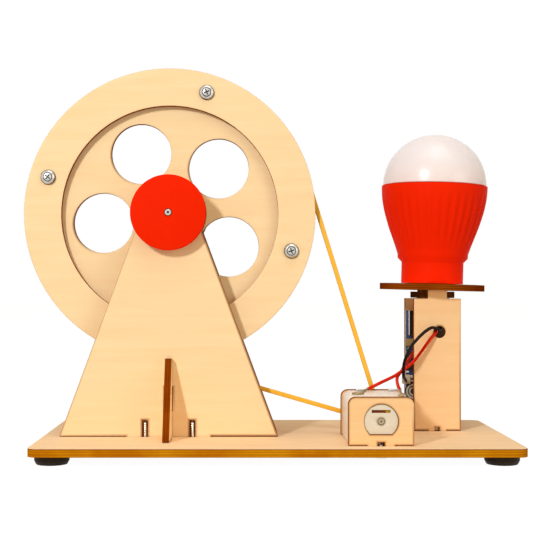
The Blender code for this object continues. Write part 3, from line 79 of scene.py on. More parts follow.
RETURN_LEAD_BY_PILLAR = (
    (1.3, 14.9, 13.0), (1.3, 14.7, 6.0), (1.3, 13.5, 0.0), (1.7, 10.3, -5.8),
    (2.2, 6.0, -10.6), (2.1, 1.7, -13.8), (0.7, -1.5, -14.3), (-1.3, -3.5, -13.8),
    (-3.7, -5.5, -13.6), (-7.6, -9.1, -15.7), (-11.4, -11.9, -18.9), (-14.3, -12.9, -22.3),
    (-15.9, -12.5, -26.0), (-16.8, -10.7, -29.2), (-16.8, -7.5, -32.4), (-16.5, -5.1, -35.0),
    (-15.9, -1.5, -36.7), (-14.8, 4.5, -37.9), (-13.3, 11.5, -39.1), (-12.3, 17.1, -40.1),
    (-12.1, 19.4, -40.4),
)
BOARD_LEAD_BY_GENERATOR = (
    (12.4, -5.5, 10.7), (12.0, -3.2, 11.8), (12.1, 1.0, 13.2), (12.6, 6.0, 14.3),
    (13.9, 12.6, 15.5),
)
BOARD_LEAD_BY_PILLAR = (
    (-16.4, 2.5, -34.3), (-13.3, 8.5, -30.9), (-9.8, 15.9, -28.1), (-8.1, 21.1, -26.8),
    (-7.7, 23.6, -26.6),
)


def linear(hex_colour):
    """An sRGB hex colour as linear red, green, blue and alpha."""
    values = [int(hex_colour[i : i + 2], 16) / 255 for i in (1, 3, 5)]
    values = [v / 12.92 if v <= 0.04045 else ((v + 0.055) / 1.055) ** 2.4 for v in values]
    return (*values, 1.0)


def node(tree, kind, settings, sockets):
    """Add a node with its settings. Each socket takes a value or another node's output."""
    made = tree.nodes.new("ShaderNode" + kind)
    for name, value in settings.items():
        setattr(made, name, value)
    for name, value in sockets.items():
        if isinstance(value, bpy.types.NodeSocket):
            tree.links.new(value, made.inputs[name])
        else:
            made.inputs[name].default_value = value
    return made


def new_material(name, sockets):
    """A material with these plain values on its shader. Gives the material, tree and shader."""
    material = bpy.data.materials.new(name)
    material.use_nodes = True
    tree = material.node_tree
    tree.nodes.clear()
    shader = node(tree, "BsdfPrincipled", {}, sockets)
    node(tree, "OutputMaterial", {}, {"Surface": shader.outputs["BSDF"]})
    return material, tree, shader


def pvc(name, pale, deep):
    """Extruded PVC insulation: an even colour with a soft shine and faint die lines."""
    material, tree, shader = new_material(
        name, {"Roughness": 0.45, "IOR": 1.53, "Specular IOR Level": 0.08}
    )
    place = node(tree, "TexCoord", {}, {}).outputs["Object"]
    # Handling marks about 3 mm long
    marks = node(tree, "TexNoise", {}, {"Vector": place, "Scale": 330.0, "Detail": 3.0})
    shade = node(
        tree, "Mix", {"data_type": "RGBA"}, {0: marks.outputs["Fac"], 6: deep, 7: pale}
    )
    tree.links.new(shade.outputs[2], shader.inputs["Base Color"])
    # Surface grain of 0.25 mm
    grain = node(tree, "TexNoise", {}, {"Vector": place, "Scale": 4000.0, "Detail": 2.0})
    bump = node(
        tree, "Bump", {}, {"Strength": 0.15, "Distance": 0.00003, "Height": grain.outputs["Fac"]}
    )
    tree.links.new(bump.outputs["Normal"], shader.inputs["Normal"])
    return material


def smooth_route(points, steps):
    """Points along the smooth curve that passes through all of a route's points."""
    ends = [2 * points[0] - points[1], *points, 2 * points[-1] - points[-2]]
    fine = []
    for a, b, c, d in zip(ends, ends[1:], ends[2:], ends[3:]):
        for i in range(steps):
            t = i / steps
            near = 2 * b + (c - a) * t + (2 * a - 5 * b + 4 * c - d) * t * t
            fine.append((near + (3 * b - a - 3 * c + d) * t**3) / 2)
    return [*fine, points[-1]]


def lead(name, by_generator, by_pillar, material):
    """A round lead along its route, from the generator or the lamp to its other end."""
    route = [(GENERATOR_SHAFT + Vector(p)) * MM for p in by_generator]
    route += [(PILLAR_SHOULDER + Vector(p)) * MM for p in by_pillar]
    curve = bpy.data.curves.new(name + "_wire", "CURVE")
    curve.dimensions = "3D"
    curve.bevel_depth = LEAD_DIAMETER / 2
    curve.bevel_resolution = 5
    curve.use_fill_caps = True
    spline = curve.splines.new("POLY")
    fine = smooth_route(route, 6)
    spline.points.add(len(fine) - 1)
    for point, place in zip(spline.points, fine):
        point.co = (*place, 1.0)
    curve.materials.append(material)
    piece = bpy.data.objects.new(name + "_wire", curve)
    bpy.context.scene.collection.objects.link(piece)
    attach(piece, "root")
    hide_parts(name)


# Soft PVC: a saturated colour, with only a faint sheen along the top of each bend
red_pvc = pvc("red PVC insulation", linear("#e22600"), linear("#d21e00"))
black_pvc = pvc("black PVC insulation", linear("#221913"), linear("#120d09"))
lead("lamp_lead", LAMP_LEAD_BY_GENERATOR, LAMP_LEAD_BY_PILLAR, red_pvc)
lead("return_lead", (), RETURN_LEAD_BY_PILLAR, black_pvc)
lead("board_lead", BOARD_LEAD_BY_GENERATOR, BOARD_LEAD_BY_PILLAR, red_pvc)


# Floor, backdrop and lights
# White table and sky. The camera sees both as white, with a faint shadow left on the table.
# The main light comes from the upper left in front, and the sky fills the shade.
floor_mesh = bpy.data.meshes.new("floor")
shape = bmesh.new()
bmesh.ops.create_grid(shape, x_segments=1, y_segments=1, size=6.0)
shape.to_mesh(floor_mesh)
shape.free()
floor = bpy.data.objects.new("floor", floor_mesh)
bpy.context.scene.collection.objects.link(floor)
table_white, tree, shader = new_material(
    "white table", {"Base Color": linear("#c2beb8"), "Roughness": 0.9, "Specular IOR Level": 0.1}
)
ray = node(tree, "LightPath", {}, {})
seen = node(
    tree, "Math", {"operation": "MAXIMUM"},
    {0: ray.outputs["Is Camera Ray"], 1: ray.outputs["Is Glossy Ray"]},
)
seen = node(
    tree, "Math", {"operation": "MAXIMUM"},
    {0: seen.outputs[0], 1: ray.outputs["Is Transmission Ray"]},
)
share = node(tree, "Math", {"operation": "MULTIPLY"}, {0: seen.outputs[0], 1: 0.8})
white = node(tree, "Emission", {}, {"Color": (1.0, 1.0, 1.0, 1.0), "Strength": 1.2})
blend = node(
    tree, "MixShader", {},
    {0: share.outputs[0], 1: shader.outputs["BSDF"], 2: white.outputs["Emission"]},
)
tree.links.new(blend.outputs["Shader"], tree.nodes["Material Output"].inputs["Surface"])
floor_mesh.materials.append(table_white)

sky = bpy.data.worlds.new("sky")
bpy.context.scene.world = sky
sky.use_nodes = True
tree = sky.node_tree
tree.nodes.clear()
ray = node(tree, "LightPath", {}, {})
seen = node(
    tree, "Math", {"operation": "MAXIMUM"},
    {0: ray.outputs["Is Camera Ray"], 1: ray.outputs["Is Glossy Ray"]},
)
seen = node(
    tree, "Math", {"operation": "MAXIMUM"},
    {0: seen.outputs[0], 1: ray.outputs["Is Transmission Ray"]},
)
glow = node(
    tree, "Mix", {"data_type": "RGBA"},
    {0: seen.outputs[0], 6: (0.42, 0.37, 0.29, 1.0), 7: (1.0, 1.0, 1.0, 1.0)},
)
background = node(tree, "Background", {}, {"Color": glow.outputs[2], "Strength": 1.0})
node(tree, "OutputWorld", {}, {"Surface": background.outputs["Background"]})


def softbox(name, place, wide, tall, power, colour=(1.0, 1.0, 1.0)):
    light = bpy.data.lights.new(name, "AREA")
    light.shape = "RECTANGLE"
    light.size = wide
    light.size_y = tall
    light.energy = power
    light.color = colour
    lamp = bpy.data.objects.new(name, light)
    bpy.context.scene.collection.objects.link(lamp)
    lamp.location = place
    aim = Vector((0.0, 0.0, 0.08)) - Vector(place)
    lamp.rotation_euler = aim.to_track_quat("-Z", "Y").to_euler()


softbox("main_light", (-0.57, -1.00, 0.60), 0.07, 0.16, 9.1, (0.91, 0.94, 1.0))
softbox("right_fill", (1.00, -0.75, 0.35), 0.60, 0.60, 2.4, (1.0, 0.97, 0.92))
softbox("top_light", (0.15, -0.30, 1.30), 0.80, 0.80, 4.4)

view = bpy.context.scene.view_settings
view.view_transform = "Standard"


# Base board
# Birch plywood 3.5 mm thick, laser-cut with rounded corners and a slot for each tab. The laser
# leaves the cut faces toasted brown and a scorched line along every edge. On the sides that a
# piece lists, the line is drawn wider and darker: partly the laser's fumes, partly painted shade.
CHAR_WIDTH = 1.1 * MM
CUT_EDGE_RADIUS = 0.04 * MM
UP = Vector((0, 0, 1))


def front_of(cad_node, outward):
    """The flat faces of a CAD piece that look outward, as a shape of their own."""
    shape = bmesh.new()
    shape.from_mesh(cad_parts[cad_node].data)
    bmesh.ops.remove_doubles(shape, verts=shape.verts, dist=0.002 * MM)
    shape.normal_update()
    away = [f for f in shape.faces if f.normal.dot(outward) < 0.99]
    bmesh.ops.delete(shape, geom=away, context="FACES")
    bmesh.ops.dissolve_limit(
        shape, angle_limit=math.radians(0.5), verts=shape.verts, edges=shape.edges
    )
    return shape


def add_piece(name, shape, materials, body, nodes=(), angle=35.0):
    """Make a shape a finished piece that rides on a body and stands for these CAD nodes."""
    mesh = bpy.data.meshes.new(name)
    shape.to_mesh(mesh)
    shape.free()
    for material in materials:
        mesh.materials.append(material)
    mesh.shade_smooth()
    mesh.set_sharp_from_angle(angle=math.radians(angle))
    piece = bpy.data.objects.new(name, mesh)
    bpy.context.scene.collection.objects.link(piece)
    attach(piece, body)
    if nodes:
        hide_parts(*nodes)
    return piece


def soften(shape, width, segments=2, angle=30.0, faces=None):
    """Round every edge that is sharper than an angle."""
    chosen = shape.edges if faces is None else {e for f in faces for e in f.edges}
    sharp = [
        e for e in chosen
        if len(e.link_faces) == 2 and e.calc_face_angle(0.0) > math.radians(angle)
    ]
    bmesh.ops.bevel(
        shape, geom=sharp, offset=width, offset_type="OFFSET", segments=segments, profile=0.5,
        affect="EDGES", clamp_overlap=True, material=-1,
    )


def thicken(shape, way):
    """Extrude flat faces into a closed plate, as far and in the way that a vector gives."""
    made = bmesh.ops.extrude_face_region(shape, geom=shape.faces[:])
    moved = [v for v in made["geom"] if isinstance(v, bmesh.types.BMVert)]
    bmesh.ops.translate(shape, vec=way, verts=moved)
    bmesh.ops.recalc_face_normals(shape, faces=shape.faces[:])


def cut_sheet(name, shape, outward, thickness, materials, body, nodes, smoke_and_shade_sides=()):
    """Give flat faces a plywood sheet's thickness, its scorched lines and its two finishes.

    The attribute char is 1 at the cut and falls to 0 at the end of the scorched line,
    smoke_and_shade is how far a cut faces one of the listed sides, where the line is drawn wider
    and darker as fumes and painted shade, and plies runs from 0 at the front face to 1 at the
    back.
    """
    bmesh.ops.inset_region(
        shape, faces=shape.faces[:], thickness=CHAR_WIDTH, use_boundary=True, use_even_offset=True
    )
    front = max(v.co.dot(outward) for v in shape.verts)
    thicken(shape, -outward * thickness)
    soften(shape, CUT_EDGE_RADIUS)
    shape.normal_update()
    for face in shape.faces:
        face.material_index = 0 if abs(face.normal.dot(outward)) > 0.999 else 1
    char = shape.verts.layers.float.new("char")
    plies = shape.verts.layers.float.new("plies")
    smoke_and_shade = shape.verts.layers.float.new("smoke_and_shade")
    for vertex in shape.verts:
        cuts = [f for f in vertex.link_faces if f.material_index]
        vertex[char] = float(bool(cuts))
        ways = [(f.normal - outward * f.normal.dot(outward)).normalized() for f in cuts]
        vertex[smoke_and_shade] = max([w.dot(Vector(s)) for w in ways for s in smoke_and_shade_sides], default=0.0)
        vertex[plies] = (front - vertex.co.dot(outward)) / thickness
    for face in shape.faces:
        if face.material_index == 0:
            strong = max(v[smoke_and_shade] for v in face.verts)
            for vertex in face.verts:
                vertex[smoke_and_shade] = max(vertex[smoke_and_shade], 0.0) if vertex[char] else strong
    return add_piece(name, shape, materials, body, nodes, 30.0)


def ply_face(name, pale, deep, grain_scale):
    """Sanded birch face: long fine grain, a few darker flecks and the scorched line.

    The grain's scale is small along the sheet's grain and large across it and through it.
    """
    material, tree, shader = new_material(
        name, {"Roughness": 0.65, "IOR": 1.45, "Specular IOR Level": 0.08}
    )
    place = node(tree, "TexCoord", {}, {}).outputs["Object"]
    # Growth bands 3 mm wide and ten times as long
    along = node(tree, "Mapping", {}, {"Vector": place, "Scale": grain_scale})
    bands = node(
        tree, "TexNoise", {},
        {"Vector": along.outputs["Vector"], "Scale": 1.0, "Detail": 4.0, "Distortion": 0.4},
    )
    spread = node(
        tree, "MapRange", {}, {"Value": bands.outputs["Fac"], "From Min": 0.3, "From Max": 0.7}
    )
    wood = node(
        tree, "Mix", {"data_type": "RGBA"}, {0: spread.outputs["Result"], 6: deep, 7: pale}
    )
    # Pores 0.4 mm across and 4 mm long, wider than birch's own so that they show
    fine = node(
        tree, "VectorMath", {"operation": "MULTIPLY"},
        {0: along.outputs["Vector"], 1: (9.0, 9.0, 9.0)},
    )
    pores = node(tree, "TexNoise", {}, {"Vector": fine.outputs[0], "Scale": 1.0, "Detail": 2.0})
    flecks = node(
        tree, "MapRange", {},
        {"Value": pores.outputs["Fac"], "From Min": 0.64, "From Max": 0.8, "To Max": 0.13},
    )
    wood = node(
        tree, "Mix", {"data_type": "RGBA"},
        {0: flecks.outputs["Result"], 6: wood.outputs[2], 7: linear("#d99f5c")},
    )
    # The scorched line: thin and faint on a clean cut, wide and dark on the listed sides, partly
    # fumes and partly painted shade
    burnt = node(tree, "Attribute", {"attribute_name": "char"}, {})
    smoke_and_shade_level = node(tree, "Attribute", {"attribute_name": "smoke_and_shade"}, {})
    fall = node(
        tree, "MapRange", {}, {"Value": smoke_and_shade_level.outputs["Fac"], "To Min": 8.0, "To Max": 0.8}
    )
    line = node(
        tree, "Math", {"operation": "POWER"},
        {0: burnt.outputs["Fac"], 1: fall.outputs["Result"]},
    )
    depth = node(
        tree, "MapRange", {}, {"Value": smoke_and_shade_level.outputs["Fac"], "To Min": 0.2, "To Max": 1.0}
    )
    line = node(
        tree, "Math", {"operation": "MULTIPLY"},
        {0: line.outputs[0], 1: depth.outputs["Result"]},
    )
    scorch = node(
        tree, "Mix", {"data_type": "RGBA"},
        {0: line.outputs[0], 6: wood.outputs[2], 7: linear("#8a4e04")},
    )
    tree.links.new(scorch.outputs[2], shader.inputs["Base Color"])
    bump = node(
        tree, "Bump", {},
        {"Strength": 0.25, "Distance": 0.00004, "Height": pores.outputs["Fac"]},
    )
    tree.links.new(bump.outputs["Normal"], shader.inputs["Normal"])
    return material


def burnt_edge(name, core, skin, glue):
    """Laser-cut edge: toasted plies with darker glue lines, and fine stripes across them."""
    material, tree, shader = new_material(
        name, {"Roughness": 0.7, "IOR": 1.45, "Specular IOR Level": 0.0}
    )
    place = node(tree, "TexCoord", {}, {}).outputs["Object"]
    depth = node(tree, "Attribute", {"attribute_name": "plies"}, {}).outputs["Fac"]
    # Three plies: two glue lines, each a tenth of the sheet
    third = node(tree, "Math", {"operation": "MULTIPLY"}, {0: depth, 1: 3.0})
    near = node(tree, "Math", {"operation": "PINGPONG"}, {0: third.outputs[0], 1: 0.5})
    layer = node(
        tree, "MapRange", {"interpolation_type": "SMOOTHSTEP"},
        {"Value": near.outputs[0], "From Min": 0.02, "From Max": 0.2},
    )
    # Toasting varies over 15 mm, and the laser's stripes are 0.4 mm apart
    toast = node(tree, "TexNoise", {}, {"Vector": place, "Scale": 65.0, "Detail": 3.0})
    stripe = node(tree, "TexNoise", {}, {"Vector": place, "Scale": 2500.0, "Detail": 1.0})
    tone = node(
        tree, "MapRange", {},
        {"Value": toast.outputs["Fac"], "From Min": 0.35, "From Max": 0.65},
    )
    plies = node(
        tree, "Mix", {"data_type": "RGBA"}, {0: tone.outputs["Result"], 6: skin, 7: core}
    )
    glued = node(
        tree, "Mix", {"data_type": "RGBA"},
        {0: layer.outputs["Result"], 6: glue, 7: plies.outputs[2]},
    )
    dark = node(
        tree, "MapRange", {},
        {"Value": stripe.outputs["Fac"], "From Min": 0.45, "From Max": 0.7, "To Max": 0.25},
    )
    striped = node(
        tree, "Mix", {"data_type": "RGBA"},
        {0: dark.outputs["Result"], 6: glued.outputs[2], 7: glue},
    )
    # The side where the laser goes in is charred for the first tenth of the sheet
    entry = node(
        tree, "MapRange", {"interpolation_type": "SMOOTHSTEP"},
        {"Value": depth, "From Min": 0.04, "From Max": 0.17, "To Min": 1.0, "To Max": 0.0},
    )
    charred = node(
        tree, "Mix", {"data_type": "RGBA"},
        {0: entry.outputs["Result"], 6: striped.outputs[2], 7: linear("#6e3603")},
    )
    tree.links.new(charred.outputs[2], shader.inputs["Base Color"])
    bump = node(
        tree, "Bump", {},
        {"Strength": 0.3, "Distance": 0.00005, "Height": stripe.outputs["Fac"]},
    )
    tree.links.new(bump.outputs["Normal"], shader.inputs["Normal"])
    return material


# Sanded birch: pale cream with long faint bands along the board
board_face = ply_face(
    "birch plywood, board", linear("#fbdaae"), linear("#f6cf9f"), (30.0, 300.0, 300.0)
)
# Golden toasted plies under a charred upper line
board_edge = burnt_edge(
    "laser-cut board edge", linear("#d8900e"), linear("#c07006"), linear("#9a5204")
)
low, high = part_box("base_board")
cut_sheet(
    "board_sheet", front_of("base_board", UP), UP, high[2] - low[2],
    [board_face, board_edge], "root", ["base_board"],
)


# Feet
# Four moulded rubber feet, 15 mm across and 4 mm high, glued under the corners. Their lower
# edge is rounded and the sole is slightly hollow.
def turned(profile, steps=64):
    """A shape turned round Z from a profile of (radius, height) that starts and ends on the axis
    or closes on itself."""
    shape = bmesh.new()
    verts = [shape.verts.new((radius, 0.0, height)) for radius, height in profile]
    edges = [shape.edges.new(pair) for pair in zip(verts, verts[1:])]
    if profile[0][0] > 0:
        edges.append(shape.edges.new((verts[-1], verts[0])))
    bmesh.ops.spin(
        shape, geom=verts + edges, cent=(0, 0, 0), axis=(0, 0, 1), dvec=(0, 0, 0),
        angle=2 * math.pi, steps=steps, use_merge=True,
    )
    bmesh.ops.remove_doubles(shape, verts=shape.verts, dist=0.001 * MM)
    bmesh.ops.recalc_face_normals(shape, faces=shape.faces[:])
    return shape


def put(shape, place, turn=(0.0, 0.0, 0.0)):
    """Turn a shape about the origin and move it to its place."""
    about = Matrix.Rotation(turn[2], 4, "Z") @ Matrix.Rotation(turn[1], 4, "Y")
    about = about @ Matrix.Rotation(turn[0], 4, "X")
    bmesh.ops.transform(shape, matrix=Matrix.Translation(place) @ about, verts=shape.verts)
    return shape


def rubber(name, pale, deep, roughness, grain):
    """Moulded rubber: dull, with a fine even grain of the given size."""
    material, tree, shader = new_material(
        name, {"Roughness": roughness, "IOR": 1.52, "Specular IOR Level": 0.12}
    )
    place = node(tree, "TexCoord", {}, {}).outputs["Object"]
    # Bloom in patches of 6 mm
    patches = node(tree, "TexNoise", {}, {"Vector": place, "Scale": 160.0, "Detail": 4.0})
    shade = node(
        tree, "Mix", {"data_type": "RGBA"}, {0: patches.outputs["Fac"], 6: deep, 7: pale}
    )
    tree.links.new(shade.outputs[2], shader.inputs["Base Color"])
    pits = node(tree, "TexNoise", {}, {"Vector": place, "Scale": 1.0 / grain, "Detail": 2.0})
    bump = node(
        tree, "Bump", {},
        {"Strength": 0.3, "Distance": 0.00005, "Height": pits.outputs["Fac"]},
    )
    tree.links.new(bump.outputs["Normal"], shader.inputs["Normal"])
    return material


# Moulded rubber: warm black, dull, with hardly a highlight
black_rubber = rubber("black moulded rubber", linear("#3b3025"), linear("#281f16"), 0.6, 0.0004)
FOOT_RADIUS = 7.5 * MM
FOOT_HEIGHT = 4.0 * MM
for foot_name in ("foot_front_left", "foot_front_right", "foot_rear_left", "foot_rear_right"):
    low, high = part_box(foot_name)
    middle = ((low[0] + high[0]) / 2, (low[1] + high[1]) / 2, 0.0)
    profile = [
        (0.0, FOOT_HEIGHT), (FOOT_RADIUS, FOOT_HEIGHT), (FOOT_RADIUS, 1.6 * MM),
        (FOOT_RADIUS - 0.15 * MM, 1.4 * MM), (FOOT_RADIUS - 0.9 * MM, 0.0),
        (FOOT_RADIUS - 2.6 * MM, 0.0), (FOOT_RADIUS - 3.0 * MM, 0.35 * MM), (0.0, 0.35 * MM),
    ]
    foot = turned(profile)
    soften(foot, 0.22 * MM, 3, 20.0)
    add_piece(foot_name + "_pad", put(foot, middle), [black_rubber], "root",
              [foot_name])


# Uprights and braces
# Two A-shaped plates of 3 mm birch plywood carry the axle. Each stands on a tab in the board,
# and a gusset slotted through it and into the board keeps it square.

# The same birch with its bands lying level, and cut edges darker than the board's
panel_face = ply_face(
    "birch plywood", linear("#fcdcaa"), linear("#fad5a0"), (30.0, 30.0, 300.0)
)
panel_edge = burnt_edge(
    "laser-cut edge", linear("#a04c05"), linear("#873802"), linear("#5c2300")
)
FRONT = Vector((0, -1, 0))
LEFT = Vector((-1, 0, 0))
# Their right and lower cut edges get the wider, darker line: scorching with painted shade
for node_name in ("front_upright", "rear_upright"):
    low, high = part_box(node_name)
    cut_sheet(
        node_name + "_sheet", front_of(node_name, FRONT), FRONT, high[1] - low[1],
        [panel_face, panel_edge], "root", [node_name], [(1.05, 0.0, 0.0), (0.0, 0.0, -0.8)],
    )
# The braces' bands run from front to back
brace_face = ply_face(
    "birch plywood, brace", linear("#fcdcaa"), linear("#fad5a0"), (300.0, 30.0, 300.0)
)
for node_name in ("front_brace", "rear_brace"):
    low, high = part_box(node_name)
    cut_sheet(
        node_name + "_sheet", front_of(node_name, LEFT), LEFT, high[0] - low[0],
        [brace_face, panel_edge], "root", [node_name],
    )


# Belt wheel
# Three plywood layers screwed together: a web with five round holes between two wider rings,
# which leave a groove for the belt round the rim.
AXLE_X = -43.175 * MM
AXLE_Z = 108.8 * MM
RING_RADIUS = 66.65 * MM
RING_BORE = 49.6 * MM
WEB_RADIUS = 64.0 * MM
WEB_HOLE = 13.75 * MM
WEB_HOLE_CIRCLE = 30.8 * MM
SCREW_CIRCLE = 58.1 * MM
SCREW_HOLE = 1.6 * MM
FIRST_SCREW = math.radians(73.1)
FIRST_WEB_HOLE = math.radians(43.3)
AXLE_BORE = 1.8 * MM


def round_sheet(circles):
    """Flat faces that look up, bounded by circles of (x, y, radius, segments)."""
    shape = bmesh.new()
    for x, y, radius, segments in circles:
        place = Matrix.Translation((x, y, 0.0))
        bmesh.ops.create_circle(
            shape, cap_ends=False, radius=radius, segments=segments, matrix=place
        )
    bmesh.ops.triangle_fill(shape, use_beauty=True, edges=shape.edges[:])
    bmesh.ops.recalc_face_normals(shape, faces=shape.faces[:])
    if shape.faces[0].normal.z < 0:
        bmesh.ops.reverse_faces(shape, faces=shape.faces[:])
    return shape


screw_places = [
    (SCREW_CIRCLE * math.cos(a), SCREW_CIRCLE * math.sin(a))
    for a in [FIRST_SCREW + math.pi / 2 * i for i in range(4)]
]
screw_holes = [(x, y, SCREW_HOLE, 24) for x, y in screw_places]
for node_name in ("wheel_front_ring", "wheel_rear_ring"):
    low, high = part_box(node_name)
    ring = round_sheet([(0, 0, RING_RADIUS, 256), (0, 0, RING_BORE, 208), *screw_holes])
    put(ring, (AXLE_X, low[1], AXLE_Z), (math.pi / 2, 0, 0))
    cut_sheet(
        node_name + "_sheet", ring, FRONT, high[1] - low[1], [panel_face, panel_edge], "wheel",
        [node_name],
    )
web_holes = []
for i in range(5):
    a = FIRST_WEB_HOLE + 2 * math.pi / 5 * i
    web_holes.append((WEB_HOLE_CIRCLE * math.cos(a), WEB_HOLE_CIRCLE * math.sin(a), WEB_HOLE, 80))
low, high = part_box("wheel_web")
web = round_sheet([(0, 0, WEB_RADIUS, 256), (0, 0, AXLE_BORE, 32), *web_holes, *screw_holes])
put(web, (AXLE_X, low[1], AXLE_Z), (math.pi / 2, 0, 0))
# Cut edges that face right, chiefly one side of each hole, get the wider, darker line: scorching
# with painted shade
cut_sheet(
    "wheel_web_sheet", web, FRONT, high[1] - low[1], [panel_face, panel_edge], "wheel",
    ["wheel_web"], [(0.95, 0.0, 0.25)],
)


# Wheel screws
# Four zinc-plated pan-head screws with a cross recess hold the three layers together. Their
# heads are bright, and shade is painted into the recesses.
def steel(name, pale, deep, roughness, scratches):
    """Bright plated steel: fine scratches and slightly uneven plating."""
    material, tree, shader = new_material(name, {"Metallic": 1.0})
    place = node(tree, "TexCoord", {}, {}).outputs["Object"]
    # Scratches 0.1 mm wide, drawn at 0.3 mm so that they show
    marks = node(
        tree, "TexNoise", {}, {"Vector": place, "Scale": 3300.0, "Detail": 3.0, "Distortion": 1.5}
    )
    # The plating clouds over 2 mm
    cloud = node(tree, "TexNoise", {}, {"Vector": place, "Scale": 500.0, "Detail": 3.0})
    shade = node(
        tree, "Mix", {"data_type": "RGBA"}, {0: cloud.outputs["Fac"], 6: deep, 7: pale}
    )
    tree.links.new(shade.outputs[2], shader.inputs["Base Color"])
    rough = node(
        tree, "MapRange", {},
        {"Value": marks.outputs["Fac"], "To Min": roughness - 0.08, "To Max": roughness + 0.15},
    )
    tree.links.new(rough.outputs["Result"], shader.inputs["Roughness"])
    bump = node(
        tree, "Bump", {},
        {"Strength": scratches, "Distance": 0.00003, "Height": marks.outputs["Fac"]},
    )
    tree.links.new(bump.outputs["Normal"], shader.inputs["Normal"])
    return material


def whole_mesh(source):
    """Apply a piece's modifiers and give its mesh as a shape."""
    graph = bpy.context.evaluated_depsgraph_get()
    shape = bmesh.new()
    shape.from_object(source, graph)
    bpy.data.objects.remove(source, do_unlink=True)
    return shape


def cut_away(shape, cutter):
    """Take one closed shape away from another."""
    pair = []
    for name, part in (("blank", shape), ("cutter", cutter)):
        mesh = bpy.data.meshes.new(name)
        part.to_mesh(mesh)
        part.free()
        pair.append(bpy.data.objects.new(name, mesh))
        bpy.context.scene.collection.objects.link(pair[-1])
    blank, tool = pair
    modifier = blank.modifiers.new("cut", "BOOLEAN")
    modifier.operation = "DIFFERENCE"
    modifier.solver = "EXACT"
    modifier.use_self = True
    modifier.object = tool
    result = whole_mesh(blank)
    bpy.data.objects.remove(tool, do_unlink=True)
    return result


def cross_recess(size, depth):
    """A tapered cross bit, point down, with its flat top on the origin's plane."""
    shape = bmesh.new()
    for turn in (0.0, math.pi / 2):
        made = bmesh.ops.create_cube(shape, size=1.0)
        bmesh.ops.scale(shape, vec=(size, size * 0.2, 2 * depth), verts=made["verts"])
        bmesh.ops.rotate(
            shape, cent=(0, 0, 0), matrix=Matrix.Rotation(turn, 3, "Z"), verts=made["verts"]
        )
        for vertex in made["verts"]:
            if vertex.co.z < 0:
                vertex.co.x *= 0.45
                vertex.co.y *= 0.45
    return shape


def pan_head(radius, height, shank, length, recess, turn):
    """A pan-head screw that points down, its head's seat on the origin's plane."""
    profile = [
        (0.0, height), (radius * 0.3, height * 0.985), (radius * 0.5, height * 0.93),
        (radius * 0.56, height * 0.8), (radius * 0.61, height * 0.8),
        (radius * 0.65, height * 0.86), (radius * 0.8, height * 0.72),
        (radius * 0.92, height * 0.5), (radius * 0.97, height * 0.3), (radius, height * 0.1),
        (radius * 0.985, 0.0), (shank, 0.0), (shank, 2 * shank - length), (0.0, -length),
    ]
    shape = turned(profile, 48)
    bit = cross_recess(recess, height * 0.62)
    put(bit, (0.0, 0.0, height + height * 0.1), (0.0, 0.0, turn))
    head = cut_away(shape, bit)
    head.normal_update()
    # Faces in the recess, the groove and on the rim's side get the second finish, painted shade
    for face in head.faces:
        middle = face.calc_center_median()
        span = middle.xy.length / radius
        recessed = span < 0.66 and (face.normal.z < 0.6 or middle.z < height * 0.62)
        grooved = 0.5 < span < 0.62 and middle.z < height * 0.88
        rim = span > 0.92 and face.normal.z < 0.7
        face.material_index = int(middle.z > 0.0 and (recessed or grooved or rim))
    return head


# Bright zinc on the heads, and painted shade in the recess, the groove and on the side of the rim
plated_steel = steel("zinc-plated steel", linear("#dcd9d2"), linear("#a9a59b"), 0.28, 0.25)
painted_shade_steel = steel("zinc-plated steel, painted shade", linear("#6a655b"), linear("#45403a"), 0.5, 0.4)
HEAD_HEIGHT = 1.8 * MM
for i, (x, z) in enumerate(screw_places):
    node_name = f"wheel_screw_{i + 1}"
    low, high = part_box(node_name)
    screw = pan_head(
        3.45 * MM, HEAD_HEIGHT, 1.3 * MM, high[1] - low[1] - HEAD_HEIGHT, 4.2 * MM, 0.4 + 0.5 * i
    )
    put(screw, (AXLE_X + x, low[1] + HEAD_HEIGHT, AXLE_Z + z), (math.pi / 2, 0, 0))
    add_piece(node_name + "_turned", screw, [plated_steel, painted_shade_steel], "wheel",
              [node_name])


# Axle, red disc and crank
# A 3 mm steel axle with chamfered ends turns in the uprights. A moulded red plastic disc is
# pressed on its front end, and a red crank with a loose grip on its rear end.
def plastic(name, pale, deep, roughness, specular):
    """Injection-moulded plastic: even colour with faint flow marks and a fine texture."""
    material, tree, shader = new_material(
        name, {"Roughness": roughness, "IOR": 1.5, "Specular IOR Level": specular}
    )
    place = node(tree, "TexCoord", {}, {}).outputs["Object"]
    # Flow marks about 12 mm long
    flow = node(tree, "TexNoise", {}, {"Vector": place, "Scale": 85.0, "Detail": 3.0})
    shade = node(
        tree, "Mix", {"data_type": "RGBA"}, {0: flow.outputs["Fac"], 6: deep, 7: pale}
    )
    tree.links.new(shade.outputs[2], shader.inputs["Base Color"])
    # Spark-eroded texture of 0.3 mm
    grain = node(tree, "TexNoise", {}, {"Vector": place, "Scale": 3300.0, "Detail": 2.0})
    bump = node(
        tree, "Bump", {},
        {"Strength": 0.12, "Distance": 0.00004, "Height": grain.outputs["Fac"]},
    )
    tree.links.new(bump.outputs["Normal"], shader.inputs["Normal"])
    return material


